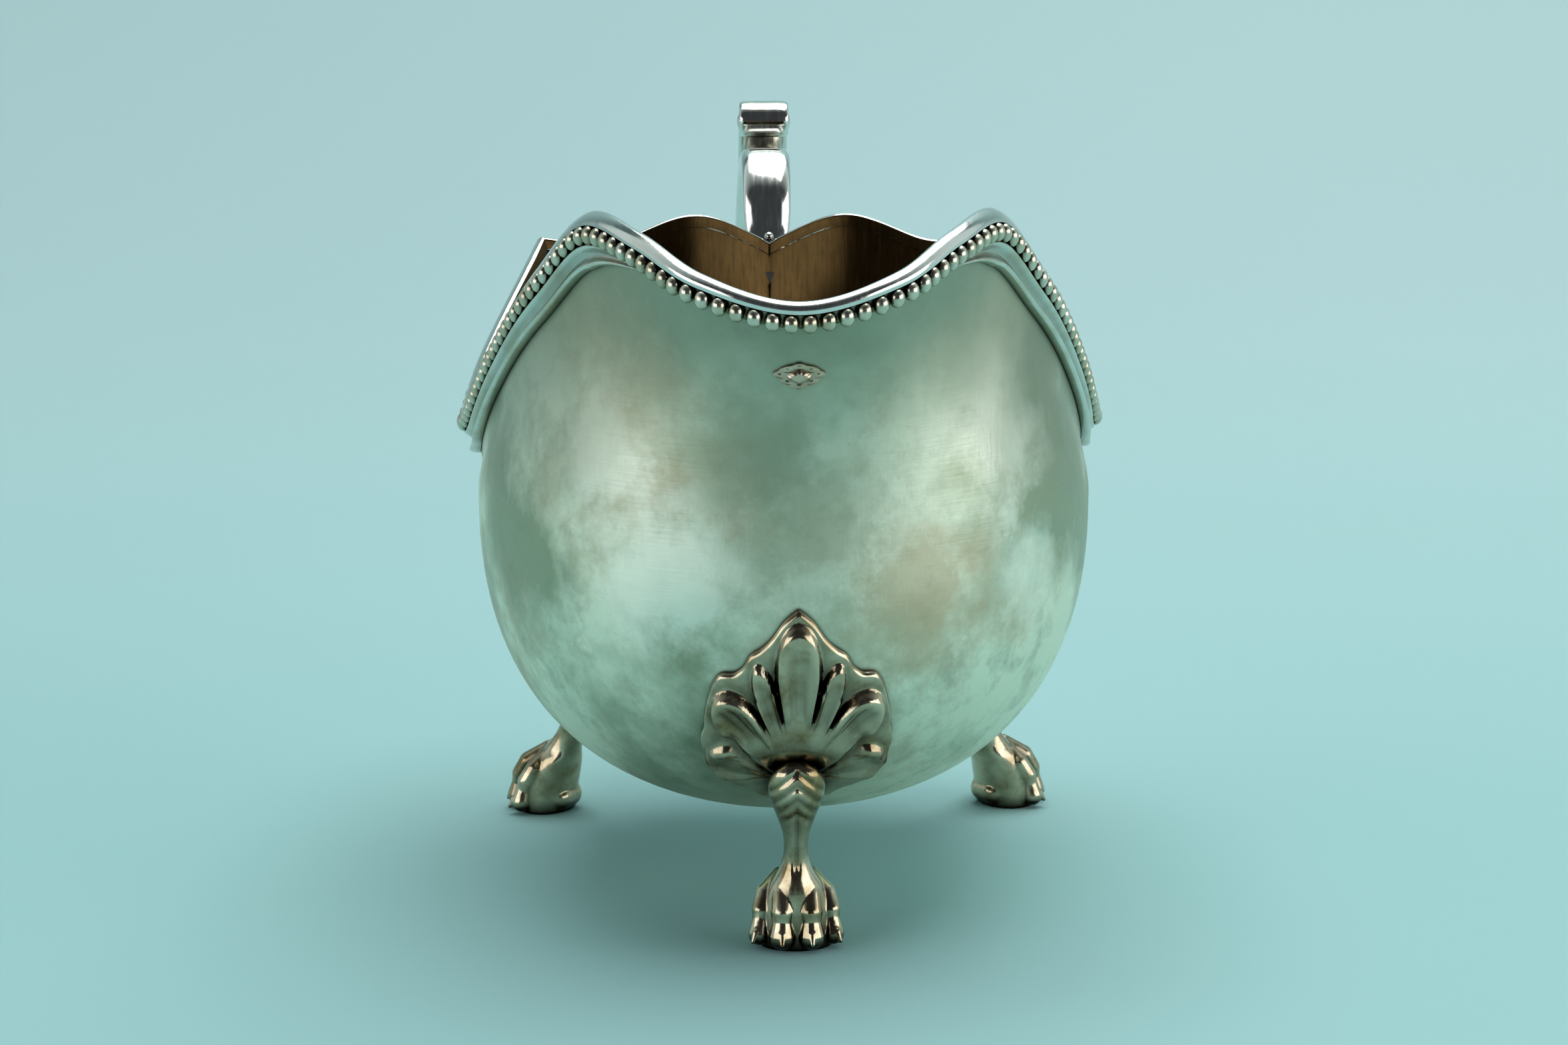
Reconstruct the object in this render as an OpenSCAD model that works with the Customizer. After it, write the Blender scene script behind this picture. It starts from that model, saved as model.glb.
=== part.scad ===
// Footed sauce boat: an oval bowl with a dipped pouring lip, a plain band over a beaded wire round
// its rim, three cast paw feet with leaf knees, and a scroll handle at the back.
// Millimetres, +Z up, lip towards -Y, handle towards +Y. The origin is on the table, under the
// middle of the whole piece.

/* [Bowl] */
// width of the bowl at its widest
bowl_width = 97; // [80:1:120]
// length of the bowl at the rim, from the lip to the point at the back
bowl_length = 132; // [108:1:160]
// height of the lip above the table
lip_height = 102; // [85:1:123]
// height of the bowl's underside above the table
foot_height = 13; // [10.5:0.5:16]
// thickness of the bowl's sheet
wall = 1.2; // [0.8:0.1:1.8]
// fullness of the belly, from a plain ellipse at 2 towards a square at 3
fullness = 2.4; // [2:0.1:3]
// how far the wall turns out just under the lip, in degrees
lip_flare = 16; // [8:1:22]
// how far the wall turns out under the rest of the rim, in degrees
side_flare = 3; // [0:0.5:8]

/* [Rim] */
// how far the foot of the plain band stands out past the wall
band_reach = 1.2; // [0.8:0.1:1.8]
// height of the plain band
band_height = 2.1; // [1.6:0.1:2.6]
// diameter of one bead of the wire
bead_d = 2.3; // [1.9:0.1:2.8]
// height of the hollow moulding under the beads
cove_height = 3.8; // [3:0.1:4.6]

/* [Feet] */
// width of a paw across its toes
paw_width = 14.8; // [12:0.2:18]
// width of a leg at its narrowest
ankle_width = 3.9; // [3:0.1:5]
// angle of the rear legs round the bowl, measured from the front leg
rear_angle = 129; // [120:1:135]
// direction in which the rear paws point, measured the same way
rear_toe_angle = 120; // [105:1:135]
// how far the rear paws spread beyond the line of the front leg
rear_spread = 13; // [6:0.5:15]

/* [Leaves] */
// width of the leaf over each knee
leaf_width = 28.6; // [24:0.2:32]
// length of the leaf from its tip to its point of growth
leaf_length = 31.7; // [27:0.1:35]
// thickness of the leaf's casting in its hollows
leaf_thickness = 0.8; // [0.6:0.1:1]
// height of the leaf's lobes above its hollows
leaf_relief = 1.7; // [0.8:0.1:2.4]

/* [Handle] */
// how far the handle stands out behind the bowl
handle_reach = 41; // [34:1:50]
// width of the handle's strap
strap_width = 8.8; // [7:0.1:11]
// thickness of the handle's strap
strap_thickness = 4.4; // [3.5:0.1:6]
// diameter of the thumb scroll's roll
scroll_d = 7.8; // [6.4:0.1:9.4]

/* [Cartouche] */
// width of the plain cartouche under the lip
cartouche_width = 7.6; // [6:0.1:8.6]
// height of the plain cartouche under the lip
cartouche_height = 4.4; // [3.4:0.1:5]

/* [Hidden] */
$fn = 32;

// clearance between pieces that are soldered together
seat = 0.08;
bright = [0.80, 0.80, 0.76];
worn = [0.68, 0.71, 0.64];
brassy = [0.66, 0.60, 0.46];

// The outlines below are drawn for a bowl of these sizes and stretched to the sizes above.
drawn_width = 97;
drawn_length = 132;
drawn_lip = 102;
drawn_foot = 13;
x_ratio = bowl_width / drawn_width;
y_ratio = bowl_length / drawn_length;
z_ratio = (lip_height - foot_height) / (drawn_lip - drawn_foot);
function lift(z) =
    z <= drawn_foot ? z * foot_height / drawn_foot : foot_height + (z - drawn_foot) * z_ratio;
function place(p) = [p.x * x_ratio, p.y * y_ratio, lift(p.z)];

// Right half of the band's top edge: lip, flank, brow, shoulder, two points down the slope, three
// round the low point at the side, then the back corner.
side_low = 74;
rim_side = [for (p = [
    [0, -70, 102], [14.5, -66.3, 105.6], [23, -56, 110], [30.5, -42, 111.6], [37.8, -28.5, 102],
    [45.2, -8, 86.9], [49.4, 6.5, 76.6], [50.7, 12, side_low], [50.1, 18, 76.3], [39.5, 50, 95.5]
]) place(p)];
// Back of the same edge: corner, dip, hump, then the point over the handle.
rim_back = [for (p = [[39.5, 50, 95.5], [28, 54.5, 94], [13, 56, 98.4], [0, 62, 92.8]]) place(p)];

half_width = bowl_width / 2;
belly_front = 60 * y_ratio;
belly_back = 57 * y_ratio;
bead_zone = bead_d + 3 * seat + 0.1;
collar = bead_zone + cove_height + 0.4;
belly_z = min(lift(62), lift(side_low) - band_height - collar - 1.5);
belly_drop = belly_z - foot_height;

// ---- lines ----
function unit(v) = v / norm(v);
function span(P, i) = norm(P[i + 1] - P[i]);
function slope(P, i) = (P[i + 1] - P[i]) / span(P, i);
function tangent(P, i, first) =
    i == 0 ? (is_undef(first) ? slope(P, 0) : first)
    : i == len(P) - 1 ? slope(P, i - 1)
    : (slope(P, i - 1) * span(P, i) + slope(P, i) * span(P, i - 1)) / (span(P, i - 1) + span(P, i));
function hermite(p, q, m, n, h, u) =
    (2 * u^3 - 3 * u^2 + 1) * p + (u^3 - 2 * u^2 + u) * h * m
    + (3 * u^2 - 2 * u^3) * q + (u^3 - u^2) * h * n;
// a smooth line through the points P, with k steps between neighbours
function smooth_line(P, k, first) = [
    for (i = [0 : len(P) - 2], j = [0 : k - 1])
        hermite(P[i], P[i + 1], tangent(P, i, first), tangent(P, i + 1, first), span(P, i), j / k),
    P[len(P) - 1]
];
function lengths(Q) = [
    for (i = 0, s = 0; i < len(Q); s = s + (i < len(Q) - 1 ? span(Q, i) : 0), i = i + 1) s
];
// the point at distance s along the line Q
function at_length(Q, L, s) =
    let (f = lookup(s, [for (i = [0 : len(Q) - 1]) [L[i], i]]), i = min(floor(f), len(Q) - 2))
    Q[i] + (Q[i + 1] - Q[i]) * (f - i);
// n + 1 points spaced equally along the line Q
function along(Q, n) =
    let (L = lengths(Q), end = L[len(Q) - 1]) [for (k = [0 : n]) at_length(Q, L, end * k / n)];

// ---- solids ----
function loop_faces(m, i) = [
    for (j = [0 : m - 1]) let (a = i * m + j, b = i * m + (j + 1) % m)
        each [[a, a + m, b + m], [a, b + m, b]]
];
// a solid whose surface runs through the closed rings in order, with flat ends
module skin(rings) {
    m = len(rings[0]);
    n = len(rings);
    polyhedron(
        points = [for (r = rings) each r],
        faces = [
            [for (j = [0 : m - 1]) j],
            for (i = [0 : n - 2]) each loop_faces(m, i),
            [for (j = [m - 1 : -1 : 0]) (n - 1) * m + j]
        ]
    );
}
// the same with a point in the middle of each end, for ends that aren't flat
module domed_skin(rings, first, last) {
    m = len(rings[0]);
    n = len(rings);
    polyhedron(
        points = concat([for (r = rings) each r], [first, last]),
        faces = [
            for (i = [0 : n - 2]) each loop_faces(m, i),
            for (j = [0 : m - 1]) [n * m, j, (j + 1) % m],
            for (j = [0 : m - 1]) [n * m + 1, (n - 1) * m + (j + 1) % m, (n - 1) * m + j]
        ]
    );
}

// ---- rim stations ----
// Half the rim has a station every few millimetres. Each holds its point, the way out (longer at
// a mitre), the way up, half way between square to the rim and upright, and the angle round the
// belly of the wall below it.
side_steps = 32;
back_steps = 16;
last = side_steps + back_steps;
rim_points = concat(
    along(smooth_line(rim_side, 16, [1, 0, 0]), side_steps),
    [for (i = [1 : back_steps]) along(smooth_line(rim_back, 16), back_steps)[i]]
);
function rim_step(i) =
    i < 0 ? let (s = unit(rim_points[1] - rim_points[0])) [s.x, -s.y, -s.z]
    : i >= last ? let (s = unit(rim_points[last] - rim_points[last - 1])) [s.x, -s.y, -s.z]
    : unit(rim_points[i + 1] - rim_points[i]);
stations = [
    for (i = [0 : last])
        let (
            sum = rim_step(i - 1) + rim_step(i), t = unit(sum), n = unit([t.y, -t.x, 0]),
            u = unit(cross(n, t) + [0, 0, 1]), p = rim_points[i], q = p - u * (band_height + collar)
        )
        [
            p, n * 2 / norm(sum), u,
            atan2(q.x / half_width, -q.y / (q.y < 0 ? belly_front : belly_back))
        ]
];

// ---- bowl ----
function belly_r(t) = cos(t)^(2 / fullness);
function belly_at(phi, t) = [
    half_width * belly_r(t) * sin(phi),
    -(cos(phi) > 0 ? belly_front : belly_back) * belly_r(t) * cos(phi),
    belly_z - belly_drop * sin(t)^(2 / fullness)
];
// how far the straight line from the rim to the belly's widest line leans out, in degrees
function lean(s) =
    let (e = belly_at(s[3], 0)) atan2((s[0] - e) * unit(s[1]), s[0].z - e.z);
function flare(s) =
    lean(s) + side_flare + (lip_flare - side_flare) * max(0, cos(s[3]))^3;
function down(s) = -(s[2] * cos(flare(s)) + s[1] * sin(flare(s)));
// a point n out from the wall and d below the wall's top edge, which the band stands on
function by_wall(s, n, d) = s[0] + down(s) * (d + band_height) + s[1] * n;

throat_steps = 4;
belly_steps = 8;
lowest = 85;
// one line of the outside, from the rim down to the small flat underneath
function meridian(s) =
    let (c = by_wall(s, 0, collar), e = belly_at(s[3], 0), h = norm(e - c))
    [
        by_wall(s, 0, 0), by_wall(s, 0, bead_zone), c,
        for (j = [1 : throat_steps - 1]) hermite(c, e, down(s), [0, 0, -1], h, j / throat_steps),
        for (j = [0 : belly_steps]) belly_at(s[3], lowest * j / belly_steps)
    ];
right_half = [for (s = stations) meridian(s)];
function mirrored(p) = [-p.x, p.y, p.z];
outside = concat(
    right_half, [for (i = [last - 1 : -1 : 1]) [for (p = right_half[i]) mirrored(p)]]
);
around = len(outside);
rows = len(outside[0]);
function normal(i, j) = unit(cross(
    outside[(i + 1) % around][j] - outside[(i + around - 1) % around][j],
    outside[i][min(j + 1, rows - 1)] - outside[i][max(j - 1, 0)]
));
function out_at(i) = i <= last ? stations[i][1] : mirrored(stations[around - i][1]);
inside = [
    for (i = [0 : around - 1]) [
        outside[i][0] - out_at(i) * wall,
        for (j = [1 : rows - 1]) outside[i][j] + normal(i, j) * wall
    ]
];
module bowl() {
    color(worn) to_middle() skin([
        for (j = [rows - 1 : -1 : 0]) [for (i = [0 : around - 1]) outside[i][j]],
        for (j = [0 : rows - 1]) [for (i = [0 : around - 1]) inside[i][j]]
    ]);
}

// The whole piece is centred on its own length.
front_end = -70 * y_ratio - band_reach;
back_end = rim_back[3].y + handle_reach + strap_thickness / 2;
module to_middle() {
    translate([0, -(front_end + back_end) / 2, 0]) children();
}
// what is built on the right, or its mirror image on the left
module on_side(side) {
    if (side > 0) children();
    else mirror([1, 0, 0]) children();
}

// ---- band, beads and moulding ----
shoulder = round(side_steps * 0.13);
cove_start = round(side_steps * 0.19);
function sweep(section, list) = [
    for (s = list) [for (q = section) by_wall(s, q[0], q[1])]
];
function both_ways(list) = concat(
    [for (i = [len(list) - 1 : -1 : 1]) mirror_station(list[i])], list
);
function backwards(list) = [for (i = [len(list) - 1 : -1 : 0]) list[i]];
function mirror_station(s) = [mirrored(s[0]), mirrored(s[1]), mirrored(s[2]), -s[3]];
front_list = both_ways([for (i = [0 : shoulder]) stations[i]]);
side_list = [for (i = [shoulder : side_steps]) stations[i]];
back_half = [for (i = [last : -1 : side_steps]) stations[i]];
back_list = backwards(both_ways(back_half));
inner_edge = wall + 0.2;
band_section = [
    [-inner_edge, -seat], [-inner_edge, -band_height * 0.45], [-wall * 0.95, -band_height * 0.83],
    [-wall * 0.45, -band_height], [0, -band_height], [band_reach * 0.3, -band_height * 0.88],
    [band_reach * 0.9, -band_height * 0.25], [band_reach, -seat]
];
module band(list) {
    color(bright) to_middle() skin(sweep(band_section, list));
}
// one bead as [way along it, radius] in parts of its length and of its half diameter
bead_rings = [[0, 0.5], [0.24, 1.03], [0.76, 1.03]];
bead_sides = 6;
module beads(list) {
    line = [
        for (s = list) let (r = (bead_d / 2 + seat) / cos(flare(s)) + 0.05) by_wall(s, r, r)
    ];
    L = lengths(line);
    ends = bead_d / 4;
    run = L[len(line) - 1] - 2 * ends;
    n = round(run / (bead_d * 1.14));
    function ring(place, size) =
        let (
            s = ends + run * place / n, p = at_length(line, L, s),
            t = unit(at_length(line, L, s + 0.5) - at_length(line, L, s - 0.5)),
            e = unit([t.y, -t.x, 0]), f = cross(e, t)
        )
        [
            for (a = [0 : 360 / bead_sides : 359])
                p + (e * cos(a) - f * sin(a)) * bead_d / 2 * size
        ];
    color(worn) to_middle() skin(concat(
        [for (k = [0 : n - 1], b = bead_rings) ring(k + b[0], b[1])], [ring(n, bead_rings[0][1])]
    ));
}
// fillet, hollow and ridge, as [out, down] in parts of the moulding's height
cove_section = [
    [0.03, 0], [0.34, 0], [0.41, 0.1], [0.33, 0.22], [0.17, 0.37], [0.15, 0.52], [0.28, 0.7],
    [0.41, 0.82], [0.37, 0.93], [0.03, 1]
];
fade_steps = 4;
cove_top = bead_zone + seat;
module cove(side) {
    color(worn) to_middle() on_side(side) skin([
        for (i = [cove_start : side_steps])
            let (h = cove_height * min(1, (i - cove_start + 1) / fade_steps))
            [for (q = cove_section) by_wall(stations[i], q[0] * h, cove_top + q[1] * h)]
    ]);
}
module rim_band_front() { band(front_list); }
module rim_band_left() { on_side(-1) band(side_list); }
module rim_band_right() { on_side(1) band(side_list); }
module rim_band_back() { band(back_list); }
module bead_wire_front() { beads(front_list); }
module bead_wire_left() { on_side(-1) beads(side_list); }
module bead_wire_right() { on_side(1) beads(side_list); }
module bead_wire_back() { beads(back_list); }
module cove_moulding_left() { cove(-1); }
module cove_moulding_right() { cove(1); }
// a small ball where the two halves of the back band meet
pearl_d = 1.6;
module rim_pearl() {
    color(bright) to_middle()
        translate(by_wall(stations[last], -wall * 0.3, -band_height - pearl_d / 2 - seat))
            sphere(d = pearl_d);
}

// ---- leaves on the knees ----
// the belly's surface as a chart: a across and v down from the belly's widest line, at angle phi
function belly_slope(rho) = [
    for (t = [0 : 3 : lowest]) [rho * belly_r(t), belly_z - belly_drop * sin(t)^(2 / fullness)]
];
function chart_table(rho) =
    let (P = belly_slope(rho), L = lengths(P)) [for (i = [0 : len(P) - 1]) [L[i], 3 * i]];
function belly_out(p) =
    let (
        along_y = p.y < 0 ? belly_front : belly_back, u = (belly_z - p.z) / belly_drop,
        r = norm([p.x / half_width, p.y / along_y])
    )
    unit([
        r^(fullness - 2) * p.x / half_width^2, r^(fullness - 2) * p.y / along_y^2,
        -u^(fullness - 1) / belly_drop
    ]);
function on_belly(phi, table, a, v, h) =
    let (
        t = lookup(v, table), across = norm([half_width * cos(phi), belly_front * sin(phi)]) * belly_r(t),
        p = belly_at(phi + a / across * 180 / PI, t)
    )
    p + belly_out(p) * h;
// half outline of the leaf from its tip, as [angle, reach] with the reach in parts of the length
leaf_edge = [
    [0, 1], [4, 0.945], [8, 0.87], [11.5, 0.83], [16.5, 0.8], [20, 0.755], [23, 0.74], [29, 0.76],
    [33, 0.735], [36.5, 0.7], [44, 0.63], [50, 0.575], [54, 0.56], [60, 0.52], [72, 0.42],
    [84, 0.34], [100, 0.25], [135, 0.21], [180, 0.2]
];
leaf_spread = leaf_width / 28.6 * 31.7 / leaf_length;
// the hollows that part the leaf's lobes, as angles from the midrib
hollows = [8.5, 19.5, 46, 100];
function lobe(q) =
    let (k = q < hollows[0] ? -1 : q < hollows[1] ? 0 : q < hollows[2] ? 1 : 2)
    k < 0 ? cos(90 * q / hollows[0])
    : sin(180 * min(1, (q - hollows[k]) / (hollows[k + 1] - hollows[k])));
function leaf_height(q, f) =
    let (rise = f < 0.2 ? 0 : sin(min(1, (f - 0.2) / 0.65) * 90)^2, drop = f > 0.96 ? 0.45 : 1)
    leaf_thickness + leaf_relief * sqrt(max(0, lobe(q))) * rise * drop;
leaf_angles = concat([for (q = [0 : 4 : 56]) q], [66, 78, 92, 115, 150, 180]);
leaf_rays = concat(
    [for (q = leaf_angles) -q], [for (i = [len(leaf_angles) - 2 : -1 : 1]) leaf_angles[i]]
);
growth_v = 38.5 * z_ratio;
leaf_seat = 0.15;
module leaf(phi) {
    rho = norm([half_width * sin(phi), (cos(phi) > 0 ? belly_front : belly_back) * cos(phi)]);
    table = chart_table(rho);
    edge = [for (q = leaf_rays) lookup(abs(q), leaf_edge) * leaf_length];
    function ring(f, top) = [
        for (i = [0 : len(leaf_rays) - 1]) let (q = leaf_rays[i])
            on_belly(
                phi, table, f * edge[i] * sin(q) * leaf_spread, growth_v - f * edge[i] * cos(q),
                leaf_seat + (top ? leaf_height(abs(q), f) : 0)
            )
    ];
    color(worn) to_middle() domed_skin(
        concat(
            [for (f = [0.15, 0.32, 0.48, 0.64, 0.79, 0.9, 1]) ring(f, false)],
            [for (f = [1, 0.94, 0.8, 0.62, 0.42, 0.15]) ring(f, true)]
        ),
        on_belly(phi, table, 0, growth_v, leaf_seat),
        on_belly(phi, table, 0, growth_v, leaf_seat + leaf_thickness)
    );
}
// the belly's own angle that lies in the rear legs' direction, and a little towards the back
rear_leaf = atan2(sin(rear_angle) / half_width, cos(rear_angle) / belly_back) + 3.4;
module front_leaf() { leaf(0); }
module left_leaf() { on_side(-1) leaf(rear_leaf); }
module right_leaf() { leaf(rear_leaf); }

// ---- legs ----
// knee, shin, ankle and pad as [height, centre, half width, half depth]; centres are measured
// outwards from the middle of the knee
leg_rings = [
    [30.2, 0.9, 1.6, 0.8], [29, 1, 3, 1.6], [27, 0, 4.2, 3], [24.5, -0.9, 4.2, 3.6],
    [22.5, -1.6, 3.6, 3.4], [20, -2.6, 2.7, 3], [17.5, -3.3, 2, 2.7], [14, -3.9, 1.95, 2.6],
    [11.5, -4.1, 2.8, 3.2], [9.5, -4.3, 4.3, 4.2], [7, -4.5, 5.4, 5], [3, -4.6, 6, 5.4],
    [0, -4.6, 5.8, 5.1]
];
knee_z = 27;
knee_stand = 3.7;
leaf_room = 1.5;
ankle_ratio = ankle_width / 3.9;
paw_ratio = paw_width / 14.8;
function belly_share(z) =
    z <= foot_height ? 0 : (1 - min(1, (belly_z - z) / belly_drop)^fullness)^(1 / fullness);
// keeps a point of the leg outside the bowl and the leaf on it
function clear_of_bowl(p) =
    let (
        along_y = p.y < 0 ? belly_front : belly_back,
        q = norm([p.x / half_width, p.y / along_y]), least = belly_share(p.z) + leaf_room / half_width
    )
    p.z > foot_height + 3 && q < least ? [p.x * least / q, p.y * least / q, p.z] : p;
// toes as [forwards, sideways, radius] of the knuckle, then the same of the tip
toes = [
    [[0.4, 1.9, 2.3], [3.4, 2, 2.25]],
    [[-1, 4.7, 2], [1.6, 5.3, 2.05]]
];
knuckle_z = 6.6;
module leg(phi, toe_angle, spread) {
    along_y = cos(phi) > 0 ? belly_front : belly_back;
    belly = 1 / norm([sin(phi) / half_width, cos(phi) / along_y]) * belly_share(lift(knee_z));
    knee = [sin(phi), -cos(phi)] * (belly + knee_stand);
    ahead = [sin(toe_angle), -cos(toe_angle)];
    aside = [cos(toe_angle), sin(toe_angle)];
    splay = [sin(phi + 8), -cos(phi + 8)] * spread;
    function centre(z, c) =
        let (
            drop = max(0, min(1, (knee_z - z) / knee_z)),
            foot = knee + ahead * c + splay * sin(90 * drop)^2
        )
        [foot.x, foot.y, lift(z)];
    function wide(z) = z < 10 ? paw_ratio : z < 20 ? ankle_ratio : 1;
    rings = [
        for (r = leg_rings) let (c = centre(r[0], r[1]))
            [
                for (a = [337.5 : -22.5 : 0])
                    let (q = ahead * r[3] * cos(a) + aside * r[2] * wide(r[0]) * sin(a))
                    clear_of_bowl(c + [q.x, q.y, 0])
            ]
    ];
    foot = centre(0, -4.6);
    function toe_ball(t, z, side) =
        let (q = ahead * t[0] + aside * t[1] * side * paw_ratio) [foot.x + q.x, foot.y + q.y, z];
    color(worn) to_middle() union() {
        skin(rings);
        for (t = toes, side = [-1, 1]) {
            hull() {
                translate(toe_ball(t[0] - [2.5, 1, 0], knuckle_z + 0.6, side))
                    sphere(r = t[0][2] * 0.8, $fn = 10);
                translate(toe_ball(t[0], knuckle_z, side)) sphere(r = t[0][2], $fn = 12);
            }
            hull() {
                translate(toe_ball(t[0], knuckle_z, side)) sphere(r = t[0][2], $fn = 12);
                translate(toe_ball(t[1], t[1][2], side)) sphere(r = t[1][2], $fn = 12);
            }
        }
    }
}
module front_leg() { leg(0, 0, 0); }
module left_leg() { on_side(-1) leg(rear_angle, rear_toe_angle, rear_spread); }
module right_leg() { leg(rear_angle, rear_toe_angle, rear_spread); }

// ---- handle ----
// the wall near the lip (from = 0) or the back point (from = last): a across and d down from the rim
function wall_line(i, d) =
    let (m = right_half[i])
    d <= collar ? by_wall(stations[i], 0, d)
    : let (
        h = norm(belly_at(stations[i][3], 0) - m[2]),
        f = min(throat_steps - 0.001, (d - collar) / h * throat_steps), k = floor(f)
    ) m[2 + k] + (m[3 + k] - m[2 + k]) * (f - k);
function near_middle(from, a, d, h) =
    let (
        dir = from == 0 ? 1 : -1,
        f = lookup(abs(a), [for (i = [0 : 6]) [wall_line(from + dir * i, d).x, i]]), k = floor(f),
        p = wall_line(from + dir * k, d) * (k + 1 - f) + wall_line(from + dir * (k + 1), d) * (f - k),
        tilt = flare(stations[from])
    )
    (a < 0 ? mirrored(p) : p) + [0, -dir * cos(tilt), -sin(tilt)] * h;
// a low boss on the wall: an oval plate with a domed top
module wall_boss(from, d0, w, h, thick, dome, point) {
    turns = [0 : 20 : 359];
    function ring(f, top) = [
        for (q = turns)
            near_middle(
                from, (from == 0 ? -1 : 1) * f * w / 2 * sin(q),
                d0 - f * h / 2 * cos(q) * (1 - point * abs(sin(q))),
                top ? seat + thick + dome * (1 - f^2) : seat
            )
    ];
    domed_skin(
        concat([for (f = [0.2, 0.6, 1]) ring(f, false)], [for (f = [1, 0.85, 0.55, 0.2]) ring(f, true)]),
        near_middle(from, 0, d0, seat), near_middle(from, 0, d0, seat + thick + dome)
    );
}
cartouche_drop = 11;
module cartouche() {
    color(brassy) to_middle()
        wall_boss(0, cartouche_drop, cartouche_width, cartouche_height, 0.5, 0.5, 0.25);
}
socket_width = 9.6;
socket_height = 8.4;
socket_drop = bead_zone + socket_height / 2 + 0.4;
socket_rise = 2.6;
socket_edge = 0.9;
module upper_socket() {
    color(bright) to_middle()
        wall_boss(last, socket_drop, socket_width, socket_height, socket_edge, socket_rise, 0);
}
// the strap's path from the upper socket over the crown and down to the lower socket
strap_gap = strap_thickness * 0.16;
strap_start = near_middle(last, 0, socket_drop, socket_edge + socket_rise + strap_gap);
lower_z = 46;
pad_thickness = 1.6;
lower_end = belly_back * belly_share(lift(lower_z)) + pad_thickness + strap_gap * 0.85;
back_y = rim_back[3].y;
function handle_place(p) = [0, back_y + (p[0] - 62) * handle_reach / 41, lift(p[1])];
strap_points = concat(
    [strap_start],
    [for (p = [
        [70.6, 93], [73.2, 100.5], [78.5, 104.6], [86, 103.2], [94, 97], [100.5, 87], [103, 75.5],
        [100.5, 64], [93.5, 55], [83, 49.5], [72, 47]
    ]) handle_place(p)],
    [[0, lower_end, lift(lower_z)]]
);
strap_line = smooth_line(strap_points, 3, [0, 0.97, 0.24]);
strap_last = len(strap_line) - 1;
strap_section = [
    [-0.47, 0.2], [-0.3, 0.42], [0, 0.5], [0.3, 0.42], [0.47, 0.2], [0.5, -0.18],
    [0.42, -0.42], [0.2, -0.5], [-0.2, -0.5], [-0.42, -0.42], [-0.5, -0.18]
];
function strap_way(i) =
    unit(strap_line[min(i + 1, strap_last)] - strap_line[max(i - 1, 0)]);
function strap_out(i) = let (t = strap_way(i)) [0, -t.z, t.y];
function strap_wide(i) =
    lookup(i / strap_last, [[0, 0.72], [0.12, 0.95], [0.3, 1], [0.55, 1.14], [0.8, 1], [1, 0.75]]);
function strap_deep(i) =
    lookup(i / strap_last, [[0, 0.8], [0.12, 0.9], [0.3, 1], [0.6, 1], [1, 0.7]]);
module handle_strap() {
    color(bright) to_middle() skin([
        for (i = [0 : strap_last]) [
            for (q = strap_section)
                strap_line[i] + [strap_width * strap_wide(i) * q[0], 0, 0]
                + strap_out(i) * strap_thickness * strap_deep(i) * q[1]
        ]
    ]);
}
// the thumb scroll leaves the strap's back below the crown and rolls forward over the crown
scroll_root = round(strap_last * 0.5);
scroll_band = 1.5;
root = strap_line[scroll_root] + strap_out(scroll_root) * (strap_thickness / 2 + scroll_band / 2 + seat);
roll_centre = [0, handle_place([87.2, 0]).y, lift(106.8) + scroll_d / 2];
roll_r = (scroll_d - scroll_band) / 2;
// a thicker strap pushes the scroll's stem off its back
stem_off = [0, 0.7, 0.7] * (strap_thickness - 4.4) / 2;
scroll_line = smooth_line(concat(
    [root, handle_place([97, 99.5]) + stem_off, handle_place([93.4, 106]) + stem_off],
    [for (a = [25 : 36 : 385])
        roll_centre + [0, cos(a), sin(a)] * roll_r * (1 - 0.55 * (a - 25) / 360)]
), 2, -strap_way(scroll_root));
scroll_section = [
    [-0.5, -0.5], [0.5, -0.5], [0.5, 0.3], [0.4, 0.5], [-0.4, 0.5], [-0.5, 0.3]
];
scroll_last = len(scroll_line) - 1;
eye_d = 3;
module thumb_scroll() {
    color(bright) to_middle() {
        skin([
            for (i = [0 : scroll_last])
                let (
                    t = unit(scroll_line[min(i + 1, scroll_last)] - scroll_line[max(i - 1, 0)]),
                    o = [0, t.z, -t.y]
                )
                [
                    for (q = scroll_section)
                        scroll_line[i] + [strap_width * 0.98 * q[0], 0, 0] + o * scroll_band * q[1]
                ]
        ]);
        translate(roll_centre) rotate([0, 90, 0])
            cylinder(h = strap_width + 0.6, d = eye_d, center = true);
    }
}
pad_width = 13;
pad_height = 15;
module lower_socket() {
    table = chart_table(belly_back);
    P = belly_slope(belly_back);
    L = lengths(P);
    v0 = lookup(-lift(lower_z), [for (i = [0 : len(P) - 1]) [-P[i][1], L[i]]]);
    function ring(f, h) = [
        for (q = [0 : 20 : 359])
            on_belly(180, table, -f * pad_width / 2 * sin(q), v0 - f * pad_height / 2 * cos(q), h)
    ];
    color(bright) to_middle() domed_skin(
        [
            ring(0.2, seat), ring(0.6, seat), ring(1, seat), ring(1, seat + 0.7),
            ring(0.85, seat + 1.3), ring(0.6, seat + pad_thickness), ring(0.2, seat + pad_thickness)
        ],
        on_belly(180, table, 0, v0, seat), on_belly(180, table, 0, v0, seat + pad_thickness)
    );
}

bowl();
rim_band_front();
rim_band_left();
rim_band_right();
rim_band_back();
rim_pearl();
bead_wire_front();
bead_wire_left();
bead_wire_right();
bead_wire_back();
cove_moulding_left();
cove_moulding_right();
front_leaf();
left_leaf();
right_leaf();
front_leg();
left_leg();
right_leg();
handle_strap();
thumb_scroll();
upper_socket();
lower_socket();
cartouche();
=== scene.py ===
import math

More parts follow.
